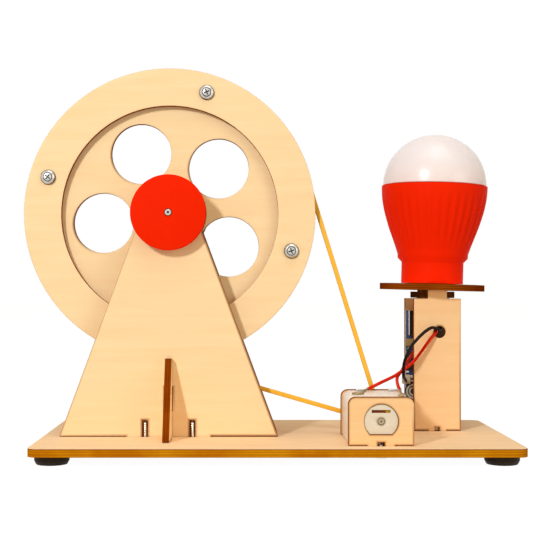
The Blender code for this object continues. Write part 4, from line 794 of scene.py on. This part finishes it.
# Moulded ABS: a strong even red, almost without shine, and a soft white for the spacers
red_plastic = plastic("red moulded ABS", linear("#f42600"), linear("#ec2200"), 0.55, 0.025)
white_plastic = plastic("white moulded ABS", linear("#efece4"), linear("#e4e0d6"), 0.5, 0.2)
low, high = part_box("axle")
AXLE_RADIUS = 1.5 * MM
length = high[1] - low[1]
axle = turned([
    (0.0, -0.45 * MM), (0.3 * MM, -0.4 * MM), (0.6 * MM, 0.0), (AXLE_RADIUS - 0.3 * MM, 0.0),
    (AXLE_RADIUS, -0.3 * MM), (AXLE_RADIUS, 0.3 * MM - length),
    (AXLE_RADIUS - 0.3 * MM, -length), (0.6 * MM, -length), (0.3 * MM, 0.4 * MM - length),
    (0.0, 0.45 * MM - length),
], 48)
# The dimple in each end gets the second finish, painted shade
for face in axle.faces:
    face.material_index = int(face.calc_center_median().xy.length < 0.55 * MM)
put(axle, (AXLE_X, low[1], AXLE_Z), (math.pi / 2, 0, 0))
add_piece("axle_rod", axle, [plated_steel, painted_shade_steel], "wheel", ["axle"])

low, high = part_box("red_disc")
length = high[1] - low[1]
DISC_RADIUS = 17.0 * MM
disc = turned([
    (DISC_RADIUS, 0.0), (DISC_RADIUS, -3.0 * MM), (5.0 * MM, -3.0 * MM), (5.0 * MM, -length),
    (AXLE_BORE, -length), (AXLE_BORE, 0.0),
], 160)
rim = [f for f in disc.faces if f.calc_center_median().xy.length > 10.0 * MM]
soften(disc, 0.45 * MM, 4, 40.0, rim)
# Two shallow marks that the mould's gates left on the face
for x, y in ((1.9, 7.6), (-2.9, -7.0)):
    mark = turned([(0.0, 0.16 * MM), (0.4 * MM, 0.14 * MM), (0.55 * MM, -0.05 * MM),
                   (0.0, -0.05 * MM)], 20)
    put(mark, (x * MM, y * MM, 0.0))
    mesh = bpy.data.meshes.new("gate_mark")
    mark.to_mesh(mesh)
    mark.free()
    disc.from_mesh(mesh)
put(disc, (AXLE_X, low[1], AXLE_Z), (math.pi / 2, 0, 0))
add_piece("red_disc_moulding", disc, [red_plastic], "wheel", ["red_disc"])

for node_name in ("front_spacer", "rear_spacer"):
    low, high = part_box(node_name)
    radius = (high[0] - low[0]) / 2
    length = high[1] - low[1]
    tube = turned([(radius, 0.0), (radius, -length), (AXLE_BORE, -length), (AXLE_BORE, 0.0)], 48)
    soften(tube, 0.2 * MM)
    put(tube, (AXLE_X, low[1], AXLE_Z), (math.pi / 2, 0, 0))
    add_piece(node_name + "_tube", tube, [white_plastic], "wheel", [node_name])

low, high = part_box("crank_arm")
arm = front_of("crank_arm", FRONT)
thicken(arm, -FRONT * (high[1] - low[1]))
soften(arm, 0.5 * MM, 3)
add_piece("crank_arm_moulding", arm, [red_plastic], "wheel", ["crank_arm"])

low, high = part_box("crank_grip")
length = high[1] - low[1]
PIN_Z = AXLE_Z - 38.0 * MM
GRIP_RADIUS = 6.0 * MM
WAIST_DEPTH = 1.0 * MM
WAIST_LENGTH = 17.0 * MM
profile = [(GRIP_RADIUS, 0.0)]
for i in range(13):
    radius = GRIP_RADIUS - WAIST_DEPTH * math.sin(math.pi * i / 12)
    profile.append((radius, -2.5 * MM - WAIST_LENGTH * i / 12))
profile += [(GRIP_RADIUS, -length), (AXLE_BORE, -length), (AXLE_BORE, 0.0)]
grip = turned(profile, 96)
soften(grip, 0.9 * MM, 4, 45.0)
put(grip, (AXLE_X, low[1], PIN_Z), (math.pi / 2, 0, 0))
add_piece("crank_grip_moulding", grip, [red_plastic], "handle", ["crank_grip"])

low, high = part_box("crank_pin")
PIN_HEAD = 1.6 * MM
pin = pan_head(3.2 * MM, PIN_HEAD, 1.5 * MM, high[1] - low[1] - PIN_HEAD, 3.9 * MM, 0.3)
put(pin, (AXLE_X, high[1] - PIN_HEAD, PIN_Z), (-math.pi / 2, 0, 0))
add_piece("crank_pin_screw", pin, [plated_steel, painted_shade_steel], "wheel", ["crank_pin"])


# Base screws
# Plated self-tapping screws come up through the board: four into the uprights' slots, where
# their threads show, and two into the notches of the generator's bracket.
def threaded_screw(head_radius, head_height, radius, length, pitch, point):
    """A self-tapping screw that points up, its head's seat on the origin's plane."""
    core = radius * 0.74
    shape = turned([
        (0.0, length), (core * 0.35, length - point * 0.25), (core, length - point), (core, 0.0),
        (head_radius, 0.0), (head_radius, -head_height * 0.3),
        (head_radius * 0.85, -head_height * 0.85), (head_radius * 0.4, -head_height),
        (0.0, -head_height),
    ], 40)
    turns = (length - point) / pitch
    steps = int(turns * 28)
    ridge = [
        shape.verts.new((core * 0.9, 0.0, 0.10 * pitch)),
        shape.verts.new((radius, 0.0, 0.45 * pitch)),
        shape.verts.new((radius, 0.0, 0.55 * pitch)),
        shape.verts.new((core * 0.9, 0.0, 0.90 * pitch)),
    ]
    face = shape.faces.new(ridge)
    made = bmesh.ops.spin(
        shape, geom=[face], cent=(0, 0, 0), axis=(0, 0, 1), dvec=(0, 0, pitch * turns / steps),
        angle=2 * math.pi * turns, steps=steps,
    )
    last = [f for f in made["geom_last"] if isinstance(f, bmesh.types.BMFace)]
    tip = {v for f in last for v in f.verts}
    bmesh.ops.scale(shape, vec=(0.75, 0.75, 1.0), verts=list(tip))
    bmesh.ops.recalc_face_normals(shape, faces=shape.faces[:])
    return shape


# Zinc painted lighter than the heads' plating: a painted glint that keeps the turns ivory against
# the dark slot
lit_thread_steel = steel("zinc-plated thread, painted light", linear("#fff9ea"), linear("#e3dcc8"), 0.3, 0.1)
BASE_HEAD = 1.6 * MM
UPRIGHT_THREAD = (1.2 * MM, 0.9 * MM, 1.1 * MM)
BRACKET_THREAD = (1.25 * MM, 0.8 * MM, 0.7 * MM)
for node_name, (radius, pitch, point) in (
    ("upright_screw_front_left", UPRIGHT_THREAD), ("upright_screw_front_right", UPRIGHT_THREAD),
    ("upright_screw_rear_left", UPRIGHT_THREAD), ("upright_screw_rear_right", UPRIGHT_THREAD),
    ("motor_screw_front", BRACKET_THREAD), ("motor_screw_rear", BRACKET_THREAD),
):
    low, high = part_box(node_name)
    seat = low[2] + BASE_HEAD
    screw = threaded_screw(2.9 * MM, BASE_HEAD, radius, high[2] - seat, pitch, point)
    put(screw, ((low[0] + high[0]) / 2, (low[1] + high[1]) / 2, seat))
    add_piece(node_name + "_thread", screw, [lit_thread_steel], "root", [node_name])


# Drive belt
# A soft yellow rubber belt of 2 mm square section, stretched from the wheel's groove to the
# generator's pulley. Its corners are slightly rounded from the mould.

# Soft rubber: warm yellow, matt, with a fine even grain
belt_rubber = rubber("yellow rubber", linear("#fcc242"), linear("#f6b62e"), 0.5, 0.0006)
low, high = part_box("drive_belt")
AXLE = Vector((AXLE_X, AXLE_Z))
PULLEY = Vector((GENERATOR_SHAFT.x, GENERATOR_SHAFT.z)) * MM
BELT_WHEEL_RADIUS = 65.3 * MM
BELT_PULLEY_RADIUS = 3.9 * MM
span = PULLEY - AXLE
heading = math.atan2(span.y, span.x)
spread = math.acos((BELT_WHEEL_RADIUS - BELT_PULLEY_RADIUS) / span.length)
line = []
for i in range(193):
    a = heading + spread + (2 * math.pi - 2 * spread) * i / 192
    line.append(AXLE + Vector((math.cos(a), math.sin(a))) * BELT_WHEEL_RADIUS)
for i in range(25):
    a = heading - spread + 2 * spread * i / 24
    line.append(PULLEY + Vector((math.cos(a), math.sin(a))) * BELT_PULLEY_RADIUS)
# The front face is bridged between the belt's outer and inner outline, then made 2 mm deep
depth = high[1] - low[1]
belt = bmesh.new()
outlines = []
for out in (depth / 2, -depth / 2):
    verts = []
    for i, point in enumerate(line):
        ahead = line[(i + 1) % len(line)] - line[i - 1]
        edge = point + Vector((ahead.y, -ahead.x)).normalized() * out
        verts.append(belt.verts.new((edge.x, low[1], edge.y)))
    outlines += [belt.edges.new(pair) for pair in zip(verts, verts[1:] + verts[:1])]
bmesh.ops.bridge_loops(belt, edges=outlines)
thicken(belt, -FRONT * depth)
soften(belt, 0.35 * MM, 3, 60.0)
add_piece("belt_band", belt, [belt_rubber], "root", ["drive_belt"])


# Generator bracket
# Two plywood plates with rounded upper corners hold the generator by its end cap and its shaft
# boss. Each stands on a tab in the board, over a screw in a small notch.

# A slightly darker, more orange sheet of birch
bracket_face = ply_face(
    "birch plywood, bracket", linear("#fccf96"), linear("#fac78b"), (30.0, 30.0, 300.0)
)
# Their left, top and lower cut edges get the wider, darker line: scorching with painted shade
for node_name in ("motor_front_plate", "motor_rear_plate"):
    low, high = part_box(node_name)
    cut_sheet(
        node_name + "_sheet", front_of(node_name, FRONT), FRONT, high[1] - low[1],
        [bracket_face, panel_edge], "root", [node_name],
        [(-0.88, 0.0, 0.0), (0.0, 0.0, 0.88), (0.0, 0.0, -0.9)],
    )


# Generator
# A small direct-current motor in a moulded off-white case. The end cap shows through the front
# plate, with the brush slot and the moulded bearing boss.

# Moulded case plastic: warm off-white with a soft shine; the cap is a little greyer
cream_plastic = plastic("off-white moulded ABS", linear("#f8ecdc"), linear("#f2e3d0"), 0.42, 0.2)
cap_plastic = plastic("grey-white moulded nylon", linear("#e9dcc5"), linear("#e1d3b9"), 0.4, 0.2)
# Bare copper, dull pressed ferrite and grey iron sheets for the parts inside
copper = steel("bare copper", linear("#c87840"), linear("#9a5220"), 0.35, 0.2)
ferrite = rubber("pressed ferrite", linear("#3a3634"), linear("#2a2725"), 0.6, 0.0003)
laminated_iron = steel("laminated iron", linear("#6c6864"), linear("#4c4946"), 0.5, 0.5)


def cad_copy(cad_node):
    """A CAD piece's own mesh as a merged shape."""
    shape = bmesh.new()
    shape.from_mesh(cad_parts[cad_node].data)
    bmesh.ops.remove_doubles(shape, verts=shape.verts, dist=0.002 * MM)
    bmesh.ops.dissolve_limit(
        shape, angle_limit=math.radians(2), verts=shape.verts, edges=shape.edges
    )
    return shape


housing = cad_copy("generator_housing")
soften(housing, 0.35 * MM, 3, 50.0)
add_piece("generator_case", housing, [cream_plastic], "root",
          ["generator_housing"])
cap = cad_copy("generator_end_cap")
soften(cap, 0.08 * MM, 2, 50.0)
# The cap fills the plate's hole but for a gap of 0.1 mm
CAP_MIDDLE = Vector((PULLEY.x, 0.0, PULLEY.y))
bmesh.ops.scale(
    cap, vec=(1.025, 1.0, 1.025), space=Matrix.Translation(-CAP_MIDDLE), verts=cap.verts
)
add_piece("generator_cap", cap, [cap_plastic], "root", ["generator_end_cap"])
for node_name, finish in (
    ("magnet_left", ferrite), ("magnet_right", ferrite), ("brush_lower", copper),
    ("brush_upper", copper), ("commutator", copper), ("armature", laminated_iron),
    ("rotor_shaft", plated_steel),
):
    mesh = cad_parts[node_name].data
    mesh.materials.clear()
    mesh.materials.append(finish)

low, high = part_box("pulley")
half = (high[1] - low[1]) / 2
pulley = turned([
    (5.5 * MM, half), (5.5 * MM, half - 0.7 * MM), (2.6 * MM, 1.3 * MM), (2.6 * MM, -1.3 * MM),
    (5.5 * MM, 0.7 * MM - half), (5.5 * MM, -half), (1.3 * MM, -half), (1.3 * MM, half),
], 72)
soften(pulley, 0.15 * MM, 2)
put(pulley, (PULLEY.x, (low[1] + high[1]) / 2, PULLEY.y), (math.pi / 2, 0, 0))
add_piece("pulley_moulding", pulley, [cream_plastic], "rotor", ["pulley"])

# Paper laminate and a brass contact lie in the cap's slot: a dull brown and a dark gold strip
CAP_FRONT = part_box("generator_end_cap")[0][1]
laminate = rubber("brown paper laminate", linear("#7a3204"), linear("#5a2202"), 0.5, 0.0004)
brass = steel("brass contact", linear("#b98a14"), linear("#8c6408"), 0.4, 0.2)


def block(low, high, width=0.0):
    """A block between two corners, its edges rounded when a width is given."""
    shape = bmesh.new()
    bmesh.ops.create_cube(shape, size=1.0)
    low, high = Vector(low), Vector(high)
    size, middle = high - low, (low + high) / 2
    bmesh.ops.transform(
        shape, matrix=Matrix.Translation(middle) @ Matrix.Diagonal((*size, 1.0)), verts=shape.verts
    )
    if width:
        soften(shape, width)
    return shape


SLOT_LOW = 21.9 * MM
SLOT_HIGH = 22.9 * MM
strip = block(
    (45.25 * MM, CAP_FRONT + 0.3 * MM, SLOT_LOW), (50.9 * MM, CAP_FRONT + 1.4 * MM, SLOT_HIGH)
)
add_piece("cap_slot_laminate", strip, [laminate], "root")
contact = block(
    (50.95 * MM, CAP_FRONT + 0.25 * MM, SLOT_LOW), (52.8 * MM, CAP_FRONT + 1.3 * MM, SLOT_HIGH),
    0.1 * MM,
)
add_piece("cap_slot_contact", contact, [brass], "root")
# The bearing boss is beige nylon, with painted shade in its ring and cross
nylon = plastic("beige moulded nylon", linear("#c6b898"), linear("#b2a383"), 0.5, 0.2)
shaded_nylon = plastic("beige nylon, painted shade", linear("#8a7b58"), linear("#6e6144"), 0.6, 0.1)
boss = turned([
    (0.0, 0.3 * MM), (1.2 * MM, 0.26 * MM), (1.3 * MM, 0.12 * MM), (1.45 * MM, 0.12 * MM),
    (1.52 * MM, 0.3 * MM), (1.72 * MM, 0.26 * MM), (1.85 * MM, 0.08 * MM),
    (1.85 * MM, -0.2 * MM), (0.0, -0.2 * MM),
], 48)
bit = cross_recess(2.3 * MM, 0.35 * MM)
boss = cut_away(boss, put(bit, (0.0, 0.0, 0.38 * MM), (0.0, 0.0, 0.35)))
boss.normal_update()
for face in boss.faces:
    middle = face.calc_center_median()
    sunk = middle.z < 0.2 * MM or face.normal.z < 0.5
    face.material_index = int(middle.xy.length < 1.5 * MM and sunk)
put(boss, (PULLEY.x, CAP_FRONT, PULLEY.y), (math.pi / 2, 0, 0))
add_piece("cap_boss", boss, [nylon, shaded_nylon], "root")

# Each lead's bare end is a twist of tinned strands, soldered down on top of the case. The solder
# is bright and smooth, and the strands show a little copper.
TWIST_PITCH = 2.6 * MM
STRAND_RADIUS = 0.2 * MM
solder = steel("tin solder", linear("#d9d7d2"), linear("#a8a49c"), 0.3, 0.3)
tinned_strand = steel("tinned copper strand", linear("#c9b48c"), linear("#8f7448"), 0.35, 0.2)


def bare_end(name, points):
    """Three thin strands twisted round a path that starts in the lead's end."""
    fine = smooth_route([Vector(p) * MM for p in points], 14)
    curve = bpy.data.curves.new(name, "CURVE")
    curve.dimensions = "3D"
    curve.bevel_depth = STRAND_RADIUS
    curve.bevel_resolution = 2
    curve.use_fill_caps = True
    for strand in range(3):
        spline = curve.splines.new("POLY")
        spline.points.add(len(fine) - 1)
        walked = 0.0
        for i, (point, place) in enumerate(zip(spline.points, fine)):
            ahead = (fine[min(i + 1, len(fine) - 1)] - fine[max(i - 1, 0)]).normalized()
            side = ahead.cross(Vector((0, 0, 1))).normalized()
            a = 2 * math.pi * (strand / 3 + walked / TWIST_PITCH)
            off = side * math.cos(a) + ahead.cross(side) * math.sin(a)
            point.co = (*(place + off * STRAND_RADIUS * 1.2), 1.0)
            if i + 1 < len(fine):
                walked += (fine[i + 1] - place).length
    curve.materials.append(tinned_strand)
    piece = bpy.data.objects.new(name, curve)
    bpy.context.scene.collection.objects.link(piece)
    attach(piece, "root")


bare_end("lamp_lead_strands", (
    (47.6, -11.0, 29.5), (46.2, -13.0, 29.3), (44.4, -17.5, 28.9), (43.4, -23.0, 28.8),
    (43.0, -27.5, 28.8), (41.2, -30.6, 28.8), (38.9, -30.4, 28.7), (38.6, -27.6, 28.7),
    (40.8, -25.6, 28.8), (42.6, -26.4, 28.9),
))
bare_end("board_lead_strands", (
    (61.8, -11.2, 29.2), (61.5, -13.5, 28.9), (60.6, -20.0, 28.8), (60.0, -27.5, 28.8),
    (60.2, -34.0, 28.8), (59.0, -38.0, 28.8), (57.2, -36.5, 28.7),
))
for name, x, y in (("left", 41.0, -28.0), ("right", 59.4, -36.6)):
    drop = bmesh.new()
    bmesh.ops.create_uvsphere(drop, u_segments=32, v_segments=16, radius=1.0)
    for vertex in drop.verts:
        a = math.atan2(vertex.co.y, vertex.co.x)
        vertex.co *= 1.0 + 0.12 * math.sin(3 * a + 1.0) * (1 - abs(vertex.co.z))
    bmesh.ops.transform(
        drop, verts=drop.verts,
        matrix=Matrix.Translation((x * MM, y * MM, 28.45 * MM))
        @ Matrix.Diagonal((1.3 * MM, 1.1 * MM, 0.4 * MM, 1.0)),
    )
    add_piece("solder_drop_" + name, drop, [solder], "root")
for node_name in ("terminal_left", "terminal_right"):
    low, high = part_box(node_name)
    tag = cad_copy(node_name)
    soften(tag, 0.15 * MM, 2)
    add_piece(node_name + "_tag", tag, [solder], "root", [node_name])


# Pillar, lamp seat and shelf
# Two narrow plywood plates stand on tabs and carry a seat and a round shelf on theirs. The
# shelf's cut edge is dark chestnut, and it sits slightly out of level.

# Birch with the lamp's shade painted in, close to the bracket's tone
pillar_face = ply_face(
    "birch plywood, pillar", linear("#fbd19c"), linear("#f8ca92"), (30.0, 30.0, 300.0)
)
# Their lower cut edges get the wider, darker line: scorching with painted shade
for node_name in ("pillar_front_plate", "pillar_rear_plate"):
    low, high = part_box(node_name)
    cut_sheet(
        node_name + "_sheet", front_of(node_name, FRONT), FRONT, high[1] - low[1],
        [pillar_face, panel_edge], "root", [node_name], [(0.0, 0.0, -0.95)],
    )
low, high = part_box("lamp_seat")
# The seat's edge sits in the shelf's shadow; that shade is painted into its colours, so that it
# reads as a dark line
seat_edge = burnt_edge(
    "laser-cut seat edge", linear("#5e3610"), linear("#4c2a0a"), linear("#341a06")
)
cut_sheet(
    "lamp_seat_sheet", front_of("lamp_seat", UP), UP, high[2] - low[2], [pillar_face, seat_edge],
    "root", ["lamp_seat"],
)
SHELF_LEAN = math.radians(1.5)
SHELF_MIDDLE = Vector((81.725, 24.35, 75.4)) * MM
SHELF_UP = Vector((math.sin(SHELF_LEAN), 0, math.cos(SHELF_LEAN)))
# A deep chestnut edge, darker than the plates' edges
shelf_edge = burnt_edge(
    "laser-cut shelf edge", linear("#964709"), linear("#7d3303"), linear("#571f00")
)
cut_sheet(
    "lamp_shelf_sheet", front_of("lamp_shelf", SHELF_UP), SHELF_UP, 3.0 * MM,
    [pillar_face, shelf_edge], "root", ["lamp_shelf"],
)


# Lamp
# A thin red moulded housing with shallow ribs below a smooth rim band, and a milky polycarbonate
# dome that snaps inside the rim. It stands on the shelf with its boss in the hole.
def lean(shape):
    """Tilt a lamp piece with the shelf."""
    about = Matrix.Translation(SHELF_MIDDLE) @ Matrix.Rotation(SHELF_LEAN, 4, "Y")
    about = about @ Matrix.Translation(-SHELF_MIDDLE)
    bmesh.ops.transform(shape, matrix=about, verts=shape.verts)
    return shape


LAMP_FOOT = SHELF_MIDDLE + UP * 1.8 * MM
WALL = 1.6
# The housing's outside from its rim down to its foot, as (radius, height) in millimetres
outer = [
    (25.3, 46.8), (25.28, 45.0), (25.15, 42.6), (24.9, 40.2), (24.5, 37.8), (24.0, 35.4),
    (23.35, 32.9), (22.6, 30.4), (21.8, 27.8), (20.9, 25.2), (19.9, 22.6), (18.9, 19.9),
    (17.85, 17.0), (16.85, 14.1), (16.8, 12.2), (14.85, 10.2), (14.8, 9.0), (14.8, 0.0),
]
boss_under = [(10.2, 0.0), (10.2, -3.0), (2.8, -3.0), (2.8, WALL)]
inner = [(max(r - WALL, 9.0), max(h, WALL)) for r, h in reversed(outer)]
profile = [(r * MM, h * MM) for r, h in outer + boss_under + inner]
RIBS = 36
housing = turned(profile, RIBS * 8)
# Grooves between the ribs fade out below the rim band and above the neck
for vertex in housing.verts:
    radius = vertex.co.xy.length
    height = vertex.co.z / MM
    wall = min(outer, key=lambda p: abs(p[1] - height))
    if abs(radius / MM - wall[0]) < 0.2 and 17.0 < height < 44.0:
        a = math.atan2(vertex.co.y, vertex.co.x) * RIBS
        fade = min(1.0, (43.0 - height) / 4.0, (height - 16.0) / 7.0)
        depth = 0.24 * MM * max(0.0, fade) * (1 + math.cos(a))
        vertex.co.x *= 1 - depth / radius
        vertex.co.y *= 1 - depth / radius
# Painted light: the same moulded red as the disc, a shade lighter
lit_red_plastic = plastic("red moulded ABS, painted lighter", linear("#f92700"), linear("#f12300"), 0.5, 0.03)
add_piece("lamp_housing", lean(put(housing, LAMP_FOOT)), [lit_red_plastic], "root",
          ["bulb_housing"], 50.0)

# Milky polycarbonate: light soaks in and softens the shading, and a small clear highlight stays on
# top. Its lowest part is painted rosy, a painted reflection of the red housing
milky, tree, shader = new_material("milky polycarbonate", {
    "Roughness": 0.27, "IOR": 1.58, "Specular IOR Level": 0.4, "Subsurface Weight": 0.4,
    "Subsurface Radius": (1.0, 0.85, 0.8), "Subsurface Scale": 0.004,
})
place = node(tree, "TexCoord", {}, {}).outputs["Object"]
height = node(tree, "SeparateXYZ", {}, {"Vector": place}).outputs["Z"]
painted_red_reflection = node(
    tree, "MapRange", {"interpolation_type": "SMOOTHSTEP"},
    {"Value": height, "From Min": 0.1255, "From Max": 0.138, "To Min": 1.0, "To Max": 0.0},
)
cloud = node(tree, "TexNoise", {}, {"Vector": place, "Scale": 60.0, "Detail": 2.0})
base = node(
    tree, "Mix", {"data_type": "RGBA"},
    {0: cloud.outputs["Fac"], 6: linear("#f1e1de"), 7: linear("#f6e7e4")},
)
tint = node(
    tree, "Mix", {"data_type": "RGBA"},
    {0: painted_red_reflection.outputs["Result"], 6: base.outputs[2], 7: linear("#ffe6de")},
)
tree.links.new(tint.outputs[2], shader.inputs["Base Color"])
DOME_HEIGHT = 47.1 * MM
profile = []
for radius, turns in ((24.7 * MM, range(24, -1, -1)), (23.4 * MM, range(25))):
    for i in turns:
        a = math.pi / 2 * i / 24
        profile.append((radius * math.cos(a), DOME_HEIGHT + radius * math.sin(a)))
profile[0] = (0.0, profile[0][1])
profile[-1] = (0.0, profile[-1][1])
add_piece("lamp_dome", lean(put(turned(profile, 128), LAMP_FOOT)), [milky], "root",
          ["bulb_dome"])
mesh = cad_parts["bulb_led_board"].data
mesh.materials.clear()
mesh.materials.append(white_plastic)


# Converter board
# A blue circuit board on foam behind the pillar's left edge. It carries a metal socket at the
# top, a tan capacitor, black chips, a drum coil and the plug for the lamp's black lead.

# Glossy blue solder mask, resins from tan to black, dull white ceramic and matt foam
solder_mask = plastic("blue solder mask", linear("#1f3d70"), linear("#142848"), 0.3, 0.3)
tan_resin = plastic("tan epoxy resin", linear("#a8894f"), linear("#86693a"), 0.45, 0.3)
chip_resin = plastic("black epoxy resin", linear("#262320"), linear("#171412"), 0.4, 0.3)
chip_white = plastic("white ceramic", linear("#eae4d6"), linear("#d3ccbc"), 0.4, 0.3)
# A dark brown that stands for shade, inside the socket's opening and on a block behind the
# pillar's wire hole
painted_shade_brown = plastic("dark brown, painted shade", linear("#4a3a26"), linear("#33271a"), 0.5, 0.1)
foam = rubber("white foam", linear("#d8cfc0"), linear("#c2b8a6"), 0.9, 0.0008)
low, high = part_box("converter_board")
board = block((low[0] + 1.2 * MM, low[1], low[2]), high, 0.1 * MM)
add_piece("converter_board_panel", board, [solder_mask], "root",
          ["converter_board"])
for node_name, finish, slot in (
    ("foam_pad", foam, "white_plastic"), ("capacitor", tan_resin, "capacitor_resin"),
    ("lead_connector", nylon, "white_plastic"),
):
    part = cad_copy(node_name)
    soften(part, 0.12 * MM, 2, 40.0)
    add_piece(node_name + "_part", part, [finish], "root", [node_name])

# The socket's shell is folded sheet, with painted shade inside its opening on the side that faces
# the pillar
low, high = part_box("usb_socket")
shell = block((low[0] + 0.9 * MM, low[1], low[2]), high)
shell.normal_update()
face = next(f for f in shell.faces if f.normal.y < -0.9)
bmesh.ops.inset_region(shell, faces=[face], thickness=1.1 * MM, use_even_offset=True)
bmesh.ops.translate(shell, vec=(0.0, 3.4 * MM, 0.0), verts=face.verts)
for inner in {f for v in face.verts for f in v.link_faces}:
    inner.material_index = 1
soften(shell, 0.12 * MM, 2)
add_piece("usb_socket_shell", shell, [plated_steel, painted_shade_brown], "root", ["usb_socket"])

# The coil is wound on a ferrite drum: a pale flange with a dark ring round its core
low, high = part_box("inductor")
middle = ((low[0] + high[0]) / 2, low[1], (low[2] + high[2]) / 2)
depth = high[1] - low[1]
COIL_RADIUS = (high[0] - low[0]) / 2
drum = turned([
    (0.0, -0.5 * MM), (1.5 * MM, -0.5 * MM), (1.5 * MM, 0.0), (COIL_RADIUS * 0.62, 0.0),
    (COIL_RADIUS * 0.62, -0.4 * MM), (COIL_RADIUS * 0.76, -0.4 * MM), (COIL_RADIUS * 0.76, 0.0),
    (COIL_RADIUS, 0.0), (COIL_RADIUS, -0.6 * MM), (COIL_RADIUS * 0.8, -0.9 * MM),
    (COIL_RADIUS * 0.8, 0.9 * MM - depth), (COIL_RADIUS, 0.6 * MM - depth),
    (COIL_RADIUS, -depth), (0.0, -depth),
], 56)
drum.normal_update()
for face in drum.faces:
    spot = face.calc_center_median()
    face.material_index = int(face.normal.z < 0.5 or spot.z < -0.2 * MM)
# Varnished drum: mid grey with a soft shine
drum_grey = plastic("grey varnished drum", linear("#b9b3a4"), linear("#9b9585"), 0.4, 0.3)
put(drum, middle, (math.pi / 2, 0, 0))
add_piece("coil_drum", drum, [drum_grey, ferrite], "root", ["inductor"])

board_face_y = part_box("converter_board")[0][1]
# The last block, behind the pillar's wire hole, is painted shade that darkens the view through the
# hole
for i, (x, z, wide, tall, deep, finish) in enumerate((
    (73.4, 39.4, 5.6, 8.8, 1.6, chip_resin), (78.5, 33.0, 4.0, 4.0, 1.2, chip_resin),
    (72.1, 45.6, 1.6, 1.0, 0.7, chip_white), (71.3, 33.9, 1.3, 0.9, 0.6, chip_white),
    (73.2, 31.4, 0.9, 1.5, 0.6, chip_white), (73.4, 29.4, 1.6, 0.9, 0.6, chip_white),
    (84.2, 45.0, 3.0, 5.0, 1.2, chip_resin), (85.0, 28.0, 1.6, 0.9, 0.6, tan_resin),
    (81.0, 24.5, 1.6, 0.9, 0.6, chip_white), (86.4, 53.5, 5.8, 9.6, 0.9, painted_shade_brown),
)):
    chip = block(
        ((x - wide / 2) * MM, board_face_y - deep * MM, (z - tall / 2) * MM),
        ((x + wide / 2) * MM, board_face_y, (z + tall / 2) * MM), 0.08 * MM,
    )
    add_piece(f"board_part_{i + 1}", chip, [finish], "root")
